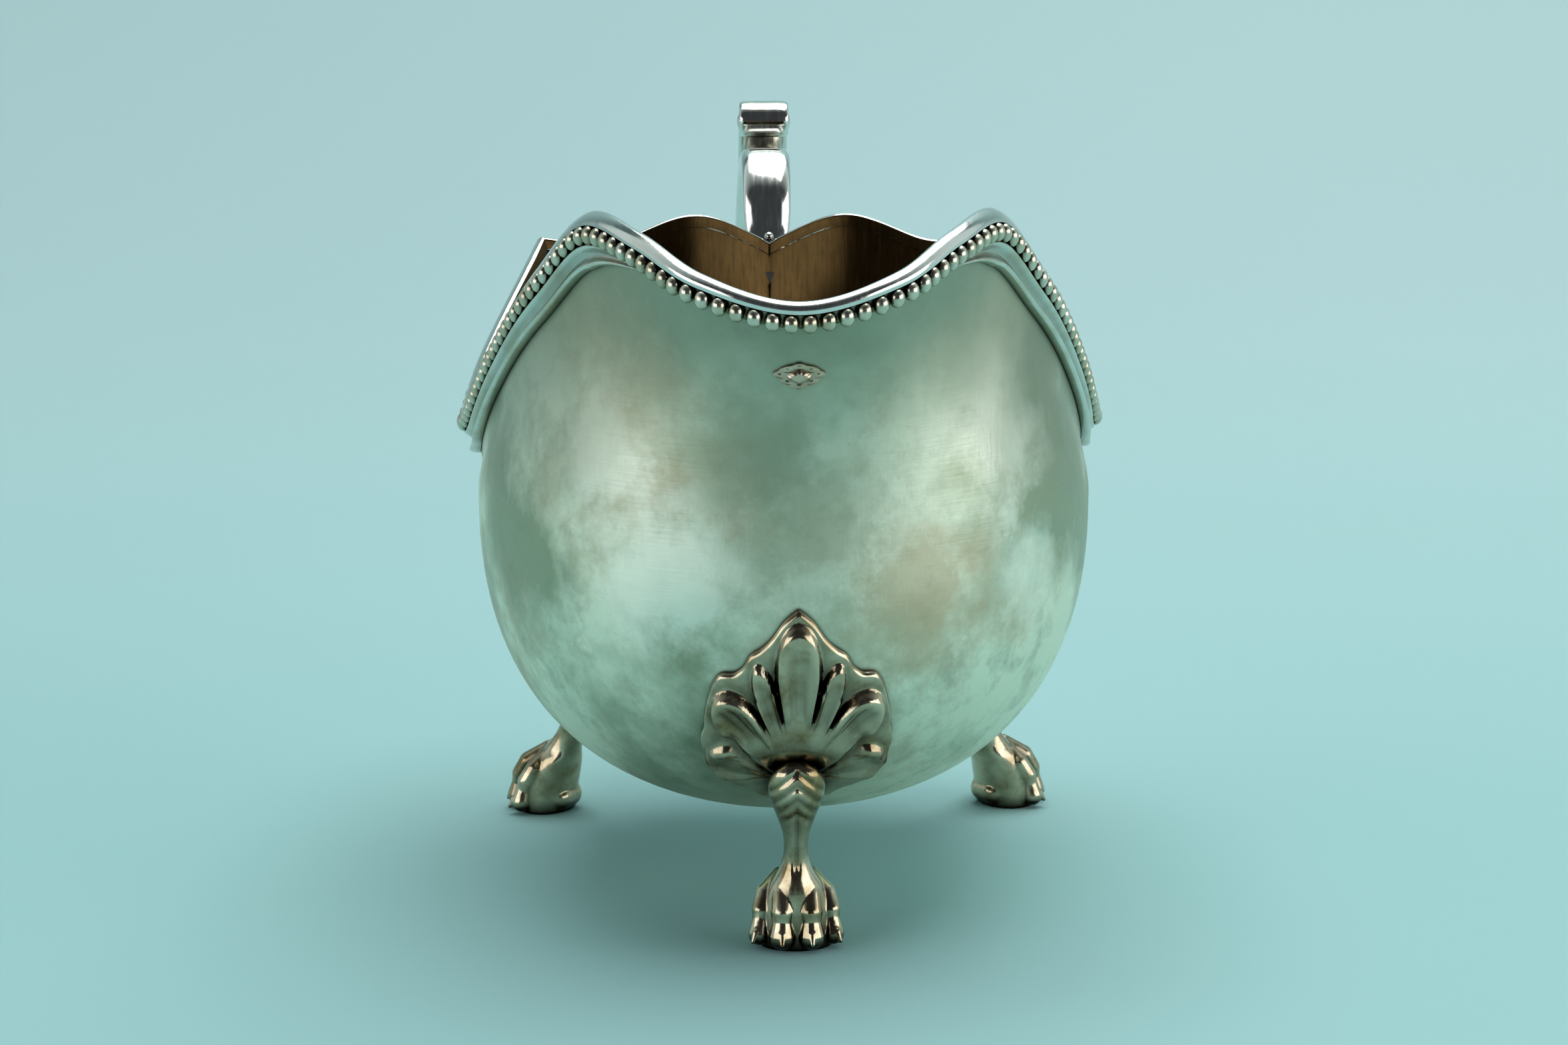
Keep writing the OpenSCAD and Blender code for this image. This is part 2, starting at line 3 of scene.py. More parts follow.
import bpy
import numpy as np
from mathutils import Matrix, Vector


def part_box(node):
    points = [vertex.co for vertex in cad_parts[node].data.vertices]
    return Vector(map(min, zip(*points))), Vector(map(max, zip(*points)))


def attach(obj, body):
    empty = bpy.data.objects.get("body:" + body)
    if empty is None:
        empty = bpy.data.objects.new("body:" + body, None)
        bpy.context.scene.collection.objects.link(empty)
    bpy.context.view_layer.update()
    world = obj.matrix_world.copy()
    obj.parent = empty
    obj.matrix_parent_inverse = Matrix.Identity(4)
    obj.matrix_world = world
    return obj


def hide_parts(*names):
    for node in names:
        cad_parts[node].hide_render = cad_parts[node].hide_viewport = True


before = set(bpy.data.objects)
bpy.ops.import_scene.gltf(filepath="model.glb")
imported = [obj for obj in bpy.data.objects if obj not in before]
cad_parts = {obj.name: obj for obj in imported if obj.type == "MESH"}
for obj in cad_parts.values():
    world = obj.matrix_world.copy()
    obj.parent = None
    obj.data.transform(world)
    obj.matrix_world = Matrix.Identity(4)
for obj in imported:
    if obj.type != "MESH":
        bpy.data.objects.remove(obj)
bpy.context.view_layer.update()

MM = 0.001  # metres in a millimetre

# ---- sizes, the same as the CAD's, in millimetres ----
BOWL_WIDTH = 97.0
WALL = 1.2
FULLNESS = 2.4
LIP_FLARE = 16.0
SIDE_FLARE = 3.0
BAND_REACH = 1.2
BAND_HEIGHT = 2.1
BEAD = 2.3
COVE_HEIGHT = 3.8
STRAP_WIDTH = 8.8
STRAP_THICKNESS = 4.4
SCROLL = 7.8
FOOT_HEIGHT = 13.0
HALF_WIDTH = BOWL_WIDTH / 2
BELLY_FRONT = 60.0
BELLY_BACK = 57.0
SEAT = 0.08
BEAD_ZONE = BEAD + 3 * SEAT + 0.1
COLLAR = BEAD_ZONE + COVE_HEIGHT + 0.4  # depth of the straight part of the wall
SIDE_LOW = 74.0
BELLY_Z = min(62.0, SIDE_LOW - BAND_HEIGHT - COLLAR - 1.5)
BELLY_DROP = BELLY_Z - FOOT_HEIGHT
# Everything is drawn round the middle of the bowl, and add_mesh moves it by SHIFT_Y into the frame,
# whose origin is further back.
FRONT_LEG_Y = -53.61  # foremost point of the front leg as drawn
SHIFT_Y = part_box("front_leg")[0][1] / MM - FRONT_LEG_Y

# Points on the rim's top outer edge: the lip, the low dip at the side, the back corner, the notch
RIM_SIDE = [
    (0, -70, 102), (14.5, -66.3, 105.6), (23, -56, 110), (30.5, -42, 111.6), (37.8, -28.5, 102),
    (45.2, -8, 86.9), (49.4, 6.5, 76.6), (50.7, 12, SIDE_LOW), (50.1, 18, 76.3), (39.5, 50, 95.5),
]
RIM_BACK = [(39.5, 50, 95.5), (28, 54.5, 94), (13, 56, 98.4), (0, 62, 92.8)]


# ---- lines ----
def unit(v):
    v = np.asarray(v, float)
    return v / np.linalg.norm(v, axis=-1, keepdims=True)


def smooth_line(points, steps, first=None):
    """The CAD's smooth line through the points, with steps between neighbours."""
    p = np.array(points, float)
    h = np.linalg.norm(np.diff(p, axis=0), axis=1)
    slope = np.diff(p, axis=0) / h[:, None]
    m = np.empty_like(p)
    m[0] = slope[0] if first is None else first
    m[-1] = slope[-1]
    for i in range(1, len(p) - 1):
        m[i] = (slope[i - 1] * h[i] + slope[i] * h[i - 1]) / (h[i] + h[i - 1])
    out = []
    for i in range(len(p) - 1):
        for j in range(steps):
            u = j / steps
            out.append(hermite(p[i], p[i + 1], m[i], m[i + 1], h[i], u))
    out.append(p[-1])
    return np.array(out)


def hermite(p, q, m, n, h, u):
    return (
        (2 * u**3 - 3 * u**2 + 1) * p + (u**3 - 2 * u**2 + u) * h * m
        + (3 * u**2 - 2 * u**3) * q + (u**3 - u**2) * h * n
    )


def lengths(line):
    return np.concatenate([[0], np.cumsum(np.linalg.norm(np.diff(line, axis=0), axis=1))])


def along(line, count):
    """count + 1 points spaced equally along the line."""
    s = lengths(line)
    t = np.linspace(0, s[-1], count + 1)
    return np.stack([np.interp(t, s, line[:, k]) for k in range(line.shape[1])], -1)


def curve(table, x):
    """A smooth value at x through (place, value) rows."""
    t = np.array(table, float)
    line = smooth_line(t, 12)
    return np.interp(x, line[:, 0], line[:, 1])


# ---- meshes ----
def add_mesh(name, points, faces, material, smooth_angle=40, materials=None, face_slots=None):
    """A mesh from millimetre points; face_slots gives each face one of the materials."""
    p = np.array(points, float)
    p[:, 1] += SHIFT_Y
    mesh = bpy.data.meshes.new(name)
    mesh.from_pydata((p * MM).tolist(), [], [tuple(int(i) for i in f) for f in faces])
    mesh.validate()
    for m in materials or [material]:
        mesh.materials.append(m)
    mesh.shade_smooth()
    if smooth_angle < 180:
        mesh.set_sharp_from_angle(angle=math.radians(smooth_angle))
    if face_slots is not None:
        mesh.polygons.foreach_set("material_index", np.array(face_slots, np.int32))
    mesh.update()
    o = bpy.data.objects.new(name, mesh)
    bpy.context.scene.collection.objects.link(o)
    return o


def grid_faces(rows, columns, closed=True, start=0):
    """Faces between rows of points; closed joins each row's end to its start."""
    faces = []
    last = columns if closed else columns - 1
    for i in range(rows - 1):
        for j in range(last):
            a = start + i * columns + j
            b = start + i * columns + (j + 1) % columns
            faces.append((a, b, b + columns, a + columns))
    return faces


def skin(rings, flip=False, caps=True):
    """Points and faces of a surface through closed rings, with an end face at each end."""
    r = np.array(rings, float)
    n, m = r.shape[:2]
    faces = grid_faces(n, m)
    if caps:
        faces += [tuple(range(m - 1, -1, -1)), tuple(range((n - 1) * m, n * m))]
    if flip:
        faces = [f[::-1] for f in faces]
    return r.reshape(-1, 3), faces


def joined(parts):
    """Several (points, faces) as one."""
    points, faces, base = [], [], 0
    for p, f in parts:
        points.append(p)
        faces += [tuple(i + base for i in q) for q in f]
        base += len(p)
    return np.concatenate(points), faces


def ball(centre, radii, axes=None, segments=16, rings=10):
    """A UV sphere stretched by radii along axes."""
    axes = np.eye(3) if axes is None else np.array(axes, float)
    points = [(0, 0, 1)]
    for i in range(1, rings):
        a = math.pi * i / rings
        for j in range(segments):
            b = 2 * math.pi * j / segments
            points.append((math.sin(a) * math.cos(b), math.sin(a) * math.sin(b), math.cos(a)))
    points.append((0, 0, -1))
    faces = [(0, 1 + j, 1 + (j + 1) % segments) for j in range(segments)]
    for i in range(rings - 2):
        for j in range(segments):
            a, b = 1 + i * segments + j, 1 + i * segments + (j + 1) % segments
            faces.append((a, a + segments, b + segments, b))
    end = len(points) - 1
    low = 1 + (rings - 2) * segments
    faces += [(end, low + (j + 1) % segments, low + j) for j in range(segments)]
    p = np.array(points) * np.array(radii, float) @ axes + np.array(centre, float)
    return p, faces


def mirrored(p):
    return np.asarray(p) * [-1, 1, 1]


# ---- rim stations ----
# Stations run along the rim from the lip (0) by the back corner (SIDE_STEPS) to the notch (LAST).
# At each, rim_out points level away from the bowl, rim_up half-way from the rim's own upright to
# straight up, and rim_down along the wall. The left half is the right half mirrored.
SIDE_STEPS = 192
BACK_STEPS = 96
LAST = SIDE_STEPS + BACK_STEPS
rim_points = np.concatenate([
    along(smooth_line(RIM_SIDE, 40, (1, 0, 0)), SIDE_STEPS),
    along(smooth_line(RIM_BACK, 40), BACK_STEPS)[1:],
])
REACH = 6  # stations each way that a direction along the rim is taken over
wide_rim = np.concatenate([
    rim_points[REACH:0:-1] * [-1, 1, 1], rim_points,
    rim_points[LAST - 1:LAST - 1 - REACH:-1] * [-1, 1, 1],
])
before = unit(rim_points - wide_rim[: LAST + 1])
after = unit(wide_rim[2 * REACH:] - rim_points)
total = before + after
rim_way = unit(total)
flat_out = unit(np.stack([rim_way[:, 1], -rim_way[:, 0], 0 * rim_way[:, 0]], -1))
rim_out = flat_out * (2 / np.linalg.norm(total, axis=1))[:, None]
rim_up = unit(np.cross(flat_out, rim_way) + [0, 0, 1])
wall_foot = rim_points - rim_up * (BAND_HEIGHT + COLLAR)
rim_phi = np.degrees(np.arctan2(
    wall_foot[:, 0] / HALF_WIDTH,
    -wall_foot[:, 1] / np.where(wall_foot[:, 1] < 0, BELLY_FRONT, BELLY_BACK),
))


def belly_r(t):
    """The belly's share of its full width at depth angle t."""
    return np.cos(t) ** (2 / FULLNESS)


def belly_at(phi, t):
    """The belly's outside at angle phi (from the lip) and depth angle t, in radians."""
    phi, t = np.broadcast_arrays(phi, t)
    reach = np.where(np.cos(phi) > 0, BELLY_FRONT, BELLY_BACK)
    return np.stack([
        HALF_WIDTH * belly_r(t) * np.sin(phi), -reach * belly_r(t) * np.cos(phi),
        BELLY_Z - BELLY_DROP * np.sin(t) ** (2 / FULLNESS),
    ], -1)


belly_top = belly_at(np.radians(rim_phi), 0.0)
away = rim_points - belly_top
lean = np.arctan2((away * flat_out).sum(1), away[:, 2])
flare = lean + np.radians(
    SIDE_FLARE + (LIP_FLARE - SIDE_FLARE) * np.maximum(0, np.cos(np.radians(rim_phi))) ** 3
)
rim_down = -(rim_up * np.cos(flare)[:, None] + flat_out * np.sin(flare)[:, None])
EASE = 8  # stations each way that the wall's direction is averaged over
eased = np.concatenate([
    rim_down[EASE:0:-1] * [-1, 1, 1], rim_down, rim_down[LAST - 1:LAST - 1 - EASE:-1] * [-1, 1, 1],
])
rim_down = unit(sum(eased[k:k + LAST + 1] for k in range(2 * EASE + 1)))


def by_wall(i, n, d):
    """n out from the wall and d below its top edge at stations i; the band stands on that edge."""
    n, d = np.asarray(n, float)[..., None], np.asarray(d, float)[..., None]
    return rim_points[i] + rim_down[i] * (d + BAND_HEIGHT) + rim_out[i] * n


# ---- bowl ----
COLLAR_ROWS = 7
THROAT_STEPS = 18
BELLY_STEPS = 34
BELLY_END = math.radians(86)  # the flat bottom starts here
STRAIGHT_DOWN = np.array([0, 0, -1.0])
every = np.arange(LAST + 1)
collar_end = by_wall(every, 0, COLLAR)
throat = np.linalg.norm(belly_top - collar_end, axis=1)
rows = [by_wall(every, 0, d) for d in np.linspace(0, COLLAR, COLLAR_ROWS)]
for k in range(1, THROAT_STEPS):
    rows.append(np.array([
        hermite(collar_end[i], belly_top[i], rim_down[i], STRAIGHT_DOWN, throat[i], k / THROAT_STEPS)
        for i in every
    ]))
for k in range(BELLY_STEPS + 1):
    rows.append(belly_at(np.radians(rim_phi), BELLY_END * k / BELLY_STEPS))
right_half = np.array(rows)
outside = np.concatenate([right_half, mirrored(right_half[:, LAST - 1:0:-1])], axis=1)
AROUND = outside.shape[1]
ROWS = outside.shape[0]
d_around = np.roll(outside, -1, axis=1) - np.roll(outside, 1, axis=1)
d_down = np.gradient(outside, axis=0)
inward = unit(np.cross(d_around, d_down))
inside = outside + inward * WALL
full_out = np.concatenate([rim_out, mirrored(rim_out[LAST - 1:0:-1])])
inside[0] = outside[0] - full_out * WALL


# ---- materials ----
def node_material(name):
    m = bpy.data.materials.new(name)
    m.use_nodes = True
    tree = m.node_tree
    shader = tree.nodes["Principled BSDF"]
    return m, tree, shader


def value_noise(tree, scale, detail=4.0, rough=0.55, stretch=None, turn=(0, 0, 0)):
    """A noise in object space, in features per metre."""
    place = tree.nodes.new("ShaderNodeTexCoord")
    noise = tree.nodes.new("ShaderNodeTexNoise")
    noise.inputs["Scale"].default_value = scale
    noise.inputs["Detail"].default_value = detail
    noise.inputs["Roughness"].default_value = rough
    out = place.outputs["Object"]
    if stretch:
        mapping = tree.nodes.new("ShaderNodeMapping")
        mapping.inputs["Scale"].default_value = stretch
        mapping.inputs["Rotation"].default_value = turn
        tree.links.new(out, mapping.inputs["Vector"])
        out = mapping.outputs["Vector"]
    tree.links.new(out, noise.inputs["Vector"])
    return noise.outputs["Fac"]


def ramp(tree, value, low, high, start=0.0, end=1.0):
    """Maps value from low..high to start..end, held at both ends."""
    r = tree.nodes.new("ShaderNodeMapRange")
    r.inputs["From Min"].default_value = low
    r.inputs["From Max"].default_value = high
    r.inputs["To Min"].default_value = start
    r.inputs["To Max"].default_value = end
    tree.links.new(value, r.inputs["Value"])
    return r.outputs["Result"]


def blend(tree, amount, a, b):
    """Colour a towards b; each is a colour or a socket."""
    mix = tree.nodes.new("ShaderNodeMix")
    mix.data_type = "RGBA"
    for socket, value in ((mix.inputs[6], a), (mix.inputs[7], b)):
        if isinstance(value, tuple):
            socket.default_value = (*value, 1)
        else:
            tree.links.new(value, socket)
    tree.links.new(amount, mix.inputs[0])
    return mix.outputs[2]


def maths(tree, operation, a, b):
    m = tree.nodes.new("ShaderNodeMath")
    m.operation = operation
    for socket, value in ((m.inputs[0], a), (m.inputs[1], b)):
        if isinstance(value, (int, float)):
            socket.default_value = value
        else:
            tree.links.new(value, socket)
    return m.outputs[0]


def recess(tree, distance, low=0.35, high=0.95):
    """1 in recesses narrower than distance (in metres), 0 on open surfaces."""
    ao = tree.nodes.new("ShaderNodeAmbientOcclusion")
    ao.samples = 8
    ao.inputs["Distance"].default_value = distance
    return ramp(tree, ao.outputs["AO"], low, high, 1.0, 0.0)


SCRATCH_DEPTH = 0.0002  # metres


def scratch_bump(tree, shader, height, strength):
    bump = tree.nodes.new("ShaderNodeBump")
    bump.inputs["Strength"].default_value = strength
    bump.inputs["Distance"].default_value = SCRATCH_DEPTH
    tree.links.new(height, bump.inputs["Height"])
    tree.links.new(bump.outputs["Normal"], shader.inputs["Normal"])


def plate(name, bright, warm, dark, rough, haze, recess_size, scratches, cloud, warm_amount,
          recess_low=0.35, recess_high=0.95):
    """Worn silver plate: clouds of warm tarnish, dark recesses, uneven haze and fine scratches.

    cloud is in clouds per metre and recess_size in metres; haze is added to rough in places.
    """
    m, tree, shader = node_material(name)
    shader.inputs["Metallic"].default_value = 1.0
    clouds = ramp(tree, value_noise(tree, cloud, 5.0, 0.6), 0.42, 0.68, 0.0, warm_amount)
    colour = blend(tree, clouds, bright, warm)
    pits = recess(tree, recess_size, recess_low, recess_high)
    colour = blend(tree, pits, colour, dark)
    tree.links.new(colour, shader.inputs["Base Color"])
    uneven = ramp(tree, value_noise(tree, cloud * 2.3, 5.0, 0.65), 0.35, 0.7, rough, rough + haze)
    lines = value_noise(tree, 60.0, 3.0, 0.6, (30, 1.2, 4), (0.5, 0.3, 0.9))
    fine = ramp(tree, lines, 0.45, 0.75, 0.0, 0.12)
    tree.links.new(maths(tree, "ADD", uneven, fine), shader.inputs["Roughness"])
    scratch_bump(tree, shader, lines, scratches)
    return m


def spot(tree, place, centre, radius):
    """1 near centre (mm round the middle of the bowl), fading unevenly to 0 at the radius."""
    gap = tree.nodes.new("ShaderNodeVectorMath")
    gap.operation = "DISTANCE"
    tree.links.new(place, gap.inputs[0])
    gap.inputs[1].default_value = (centre[0] * MM, (centre[1] + SHIFT_Y) * MM, centre[2] * MM)
    radius = radius * MM
    ragged = ramp(tree, value_noise(tree, 75.0, 6.0, 0.7), 0.35, 0.65, -0.4 * radius, 0.4 * radius)
    reach = maths(tree, "ADD", gap.outputs["Value"], ragged)
    return ramp(tree, reach, 0.35 * radius, radius, 1.0, 0.0)


# soft patches on the bowl's front, partly tarnish and partly painted light: the pale ones are painted
# highlights, the dark ones painted dark reflection and brown tarnish: (centre in mm, radius in mm,
# strength, colour)
PAINTED_LIGHT_AND_STAINS = [
    ((-22, -56, 59), 17, 0.75, (0.92, 0.94, 0.82)),
    ((-30, -48, 77), 10, 0.6, (0.86, 0.88, 0.76)),
    ((31, -46, 78), 14, 0.6, (0.92, 0.92, 0.80)),
    ((37, -40, 57), 11, 0.5, (0.90, 0.92, 0.80)),
    ((20, -56, 57), 13, 0.7, (0.52, 0.44, 0.29)),
    ((1, -60, 66), 13, 0.5, (0.42, 0.47, 0.32)),
    ((-8, -62, 80), 11, 0.6, (0.36, 0.41, 0.29)),
    ((24, -50, 92), 9, 0.5, (0.40, 0.44, 0.32)),
]


def tarnish_and_painted_light():
    """The bowl's outside: light and dark clouds of tarnish, patches of painted highlight and painted
    dark reflection, painted shade darkening it near the rim, rubbed and scratched.
    """
    m, tree, shader = node_material("worn_plate_and_painted_light")
    shader.inputs["Metallic"].default_value = 1.0
    place = tree.nodes.new("ShaderNodeTexCoord")
    axes = tree.nodes.new("ShaderNodeSeparateXYZ")
    tree.links.new(place.outputs["Object"], axes.inputs["Vector"])
    big = ramp(tree, value_noise(tree, 21.0, 6.0, 0.62), 0.43, 0.57)
    colour = blend(tree, big, (0.38, 0.42, 0.29), (0.82, 0.86, 0.70))
    brown = value_noise(tree, 31.0, 6.0, 0.68, (1, 1, 1), (0.7, 0.2, 1.9))
    brown = ramp(tree, brown, 0.5, 0.66, 0, 0.8)
    colour = blend(tree, brown, colour, (0.48, 0.41, 0.27))
    mottle = ramp(tree, value_noise(tree, 130.0, 6.0, 0.75), 0.5, 0.72, 0, 0.5)
    colour = blend(tree, mottle, colour, (0.28, 0.31, 0.22))
    # painted highlights and painted dark reflection, with some tarnish, blended in as soft patches
    for centre, radius, strength, patch_colour in PAINTED_LIGHT_AND_STAINS:
        amount = maths(tree, "MULTIPLY", spot(tree, place.outputs["Object"], centre, radius), strength)
        colour = blend(tree, amount, colour, patch_colour)
    # painted shade: the colour darkens towards the rim, with a ragged edge
    waver = maths(tree, "MULTIPLY", value_noise(tree, 24.0, 5.0, 0.6), 0.03)
    high = ramp(tree, maths(tree, "ADD", axes.outputs["Z"], waver), 0.078, 0.108, 0, 0.85)
    colour = blend(tree, high, colour, (0.30, 0.34, 0.25))
    colour = blend(tree, recess(tree, 0.007, 0.3, 0.85), colour, (0.07, 0.09, 0.06))
    tree.links.new(colour, shader.inputs["Base Color"])
    lines = value_noise(tree, 60.0, 3.0, 0.6, (34, 1.2, 5), (0.5, 0.3, 0.9))
    cross = value_noise(tree, 55.0, 3.0, 0.6, (2, 1.4, 38), (0.2, -0.5, 0.4))
    haze = ramp(tree, value_noise(tree, 52.0, 6.0, 0.7), 0.35, 0.68, 0.34, 0.46)
    tree.links.new(
        maths(tree, "ADD", haze, maths(tree, "MULTIPLY", big, 0.12)), shader.inputs["Roughness"]
    )
    scratch_bump(tree, shader, maths(tree, "ADD", lines, cross), 0.1)
    return m


body_plate = tarnish_and_painted_light()
# the inside and the band's inner side: stained gilt darkened with the shade inside the bowl painted
# into its colour
gilt_and_painted_shade = plate(
    "stained_inside_painted_shade", bright=(0.075, 0.046, 0.017), warm=(0.03, 0.018, 0.007),
    dark=(0.012, 0.008, 0.004), rough=0.22, haze=0.15, recess_size=0.004, scratches=0.12,
    cloud=30.0, warm_amount=0.8,
)
band_plate = plate(
    "bright_band", bright=(0.80, 0.80, 0.76), warm=(0.55, 0.48, 0.34), dark=(0.10, 0.10, 0.08),
    rough=0.10, haze=0.08, recess_size=0.0012, scratches=0.05, cloud=90.0, warm_amount=0.3,
)
bead_plate = plate(
    "bead_plate", bright=(0.66, 0.65, 0.53), warm=(0.42, 0.34, 0.20), dark=(0.05, 0.04, 0.02),
    rough=0.15, haze=0.10, recess_size=0.0014, scratches=0.05, cloud=120.0, warm_amount=0.7,
    recess_low=0.45, recess_high=0.98,
)
cove_plate = plate(
    "cove_plate", bright=(0.70, 0.72, 0.64), warm=(0.44, 0.36, 0.22), dark=(0.05, 0.045, 0.03),
    rough=0.09, haze=0.10, recess_size=0.002, scratches=0.06, cloud=90.0, warm_amount=0.7,
    recess_low=0.4, recess_high=0.95,
)
cast_plate = plate(
    "cast_plate", bright=(0.56, 0.50, 0.36), warm=(0.25, 0.18, 0.085), dark=(0.016, 0.011, 0.006),
    rough=0.10, haze=0.12, recess_size=0.003, scratches=0.08, cloud=170.0, warm_amount=0.95,
    recess_low=0.55, recess_high=1.0,
)
handle_plate = plate(
    "handle_plate", bright=(0.80, 0.80, 0.76), warm=(0.55, 0.46, 0.32), dark=(0.08, 0.07, 0.05),
    rough=0.10, haze=0.08, recess_size=0.0015, scratches=0.05, cloud=80.0, warm_amount=0.35,
)
badge_plate = plate(
    "badge_plate", bright=(0.62, 0.50, 0.38), warm=(0.40, 0.28, 0.16), dark=(0.03, 0.02, 0.015),
    rough=0.14, haze=0.1, recess_size=0.0014, scratches=0.05, cloud=160.0, warm_amount=0.7,
)


def own(o, slot, *nodes):
    """The piece moves with the one body and stands for those CAD nodes; slot is not used."""
    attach(o, "root")
    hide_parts(*nodes)


# bowl mesh: outside from the bottom up, then inside from the rim down
bowl_points = np.concatenate([outside[::-1].reshape(-1, 3), inside.reshape(-1, 3)])
bowl_faces = grid_faces(2 * ROWS, AROUND)
outer_count = (ROWS - 1) * AROUND
bowl_slots = [0] * (outer_count + AROUND) + [1] * outer_count
bowl_faces += [
    tuple(range(AROUND - 1, -1, -1)), tuple(range((2 * ROWS - 1) * AROUND, 2 * ROWS * AROUND)),
]
bowl_slots += [0, 1]
bowl = add_mesh(
    "bowl_plate", bowl_points, bowl_faces, None, 50, [body_plate, gilt_and_painted_shade], bowl_slots
)
own(bowl, "bowl_plate", "bowl")

# ---- band, beads and moulding ----
SHOULDER = round(SIDE_STEPS * 0.13)  # where the front lengths of band and beads end
COVE_START = round(SIDE_STEPS * 0.19)
INNER = WALL + 0.2
# outlines as (out, down) from the wall's top outer edge: the band's in mm, and the moulding's as
# shares of its height
band_outline = [
    (-INNER, -SEAT), (-INNER, -BAND_HEIGHT * 0.6), (-WALL * 1.1, -BAND_HEIGHT * 0.9),
    (-WALL * 0.9, -BAND_HEIGHT), (-WALL * 0.55, -BAND_HEIGHT), (-WALL * 0.25, -BAND_HEIGHT * 0.93),
    (BAND_REACH * 0.88, -BAND_HEIGHT * 0.3), (BAND_REACH, -SEAT),
]
cove_outline = [
    (0.03, 0), (0.30, 0.0), (0.40, 0.04), (0.41, 0.1), (0.33, 0.2), (0.2, 0.33), (0.14, 0.47),
    (0.19, 0.6), (0.3, 0.7), (0.4, 0.78), (0.42, 0.86), (0.36, 0.94), (0.2, 0.99), (0.03, 1),
]


def eased_outline(outline, steps):
    """The outline eased through its points, from the first to the last."""
    p = np.array([(a, b, 0) for a, b in outline], float)
    return smooth_line(p, steps)[:, :2]


def run_of(kind):
    """Stations of a stretch of rim as (index, side) pairs."""
    front = [(i, -1) for i in range(SHOULDER, 0, -1)] + [(i, 1) for i in range(SHOULDER + 1)]
    side = range(SHOULDER, SIDE_STEPS + 1)
    back = [(i, 1) for i in range(SIDE_STEPS, LAST + 1)] + [
        (i, -1) for i in range(LAST - 1, SIDE_STEPS - 1, -1)
    ]
    right, left = [(i, 1) for i in side], [(i, -1) for i in side]
    return {"front": front, "right": right, "left": left, "back": back}[kind]


def wall_point(station, n, d):
    i, side = station
    p = by_wall(i, n, d)
    return p if side > 0 else mirrored(p)


def sweep(stations, outline, flip=False):
    """The (out, down) outline swept along the stations."""
    o = np.array(outline)
    return skin([wall_point(s, o[:, 0], o[:, 1]) for s in stations], flip)


band_line = eased_outline(band_outline, 4)
GILT_EDGE = 8  # the first faces of the band's outline, which are the gilded inner side
BEAD_PITCH = 1.14  # as a share of the bead
for kind in ("front", "right", "left", "back"):
    stations = run_of(kind)
    flip = kind == "left"
    around = len(band_line)
    gilt_side = [1 if j < GILT_EDGE else 0 for j in range(around)] * (len(stations) - 1) + [0, 0]
    band = add_mesh(
        "band_" + kind, *sweep(stations, band_line, flip), None, 50, [band_plate, gilt_and_painted_shade],
        gilt_side,
    )
    own(band, "rim_band", "rim_band_" + kind)

    # beads strung along the line under the band, on a dark core
    reach = (BEAD / 2 + SEAT) / np.cos(flare) + 0.05
    line = np.array([wall_point(s, reach[s[0]], reach[s[0]] + 0.1) for s in stations])
    up = np.array([rim_up[i] if side > 0 else mirrored(rim_up[i]) for i, side in stations])
    s = lengths(line)
    inset = BEAD / 2
    count = int(round((s[-1] - 2 * inset) / (BEAD * BEAD_PITCH)))
    parts = []
    for t in np.linspace(inset, s[-1] - inset, count + 1):
        c = np.array([np.interp(t, s, line[:, k]) for k in range(3)])
        a = np.array([np.interp(t + 0.5, s, line[:, k]) for k in range(3)])
        b = np.array([np.interp(t - 0.5, s, line[:, k]) for k in range(3)])
        u = unit(np.array([np.interp(t, s, up[:, k]) for k in range(3)]))
        way = unit(a - b)
        out = np.cross(way, u)
        parts.append(ball(c, (BEAD * 0.53, BEAD * 0.5, BEAD * 0.62), (way, out, u), 16, 10))
    core = [(0.05, 0.12), (0.75, 0.12), (0.9, BEAD * 0.5), (0.75, BEAD + 0.2), (0.05, BEAD + 0.2)]
    parts.append(sweep(stations, core, flip))
    beads = add_mesh("beads_" + kind, *joined(parts), bead_plate, 60)
    own(beads, "bead_wire", "bead_wire_" + kind)

    if kind in ("right", "left"):
        o = eased_outline([(a * COVE_HEIGHT, b * COVE_HEIGHT) for a, b in cove_outline], 3)
        taper = SIDE_STEPS / 8
        rings = []
        for st in stations:
            if st[0] < COVE_START:
                continue
            grow = min(1.0, (st[0] - COVE_START + taper / 4) / taper)
            rings.append(wall_point(st, o[:, 0] * grow, BEAD_ZONE + SEAT + o[:, 1] * grow))
        cove = add_mesh("cove_" + kind, *skin(rings, flip), cove_plate, 60)
        own(cove, "cove_moulding", "cove_moulding_" + kind)

PEARL_R = 0.8
pearl_centre = by_wall(LAST, -WALL * 0.3, -BAND_HEIGHT - PEARL_R - SEAT)
pearl = add_mesh("pearl", *ball(pearl_centre, (PEARL_R,) * 3, None, 24, 16), band_plate)
own(pearl, "rim_band", "rim_pearl")


# ---- leaves ----
LEAF_LENGTH = 31.7
GROWTH = 38.5  # how far down the belly the leaf grows from
LEAF_SEAT = 0.15
# the edge as (angle from the tip in degrees, share of the length)
LEAF_EDGE = [
    (0, 1), (4, 0.945), (8, 0.87), (11.5, 0.83), (16.5, 0.8), (20, 0.755), (23, 0.74), (29, 0.76),
    (33, 0.735), (36.5, 0.7), (44, 0.63), (50, 0.575), (54, 0.56), (60, 0.52), (72, 0.42),
    (84, 0.34), (100, 0.25), (135, 0.21), (180, 0.2),
]
# each lobe as (middle angle, half angle, reach in mm, height in mm, depth of its dish as a share)
LOBES = [
    (0.0, 9.6, 30.4, 1.5, 0.6), (14.6, 5.6, 24.8, 1.35, 0.3), (32.5, 12.6, 22.2, 1.95, 0.55),
    (66.0, 22.0, 15.4, 1.7, 0.5),
]


def smoothstep(a, b, x):
    t = np.clip((x - a) / (b - a), 0, 1)
    return t * t * (3 - 2 * t)


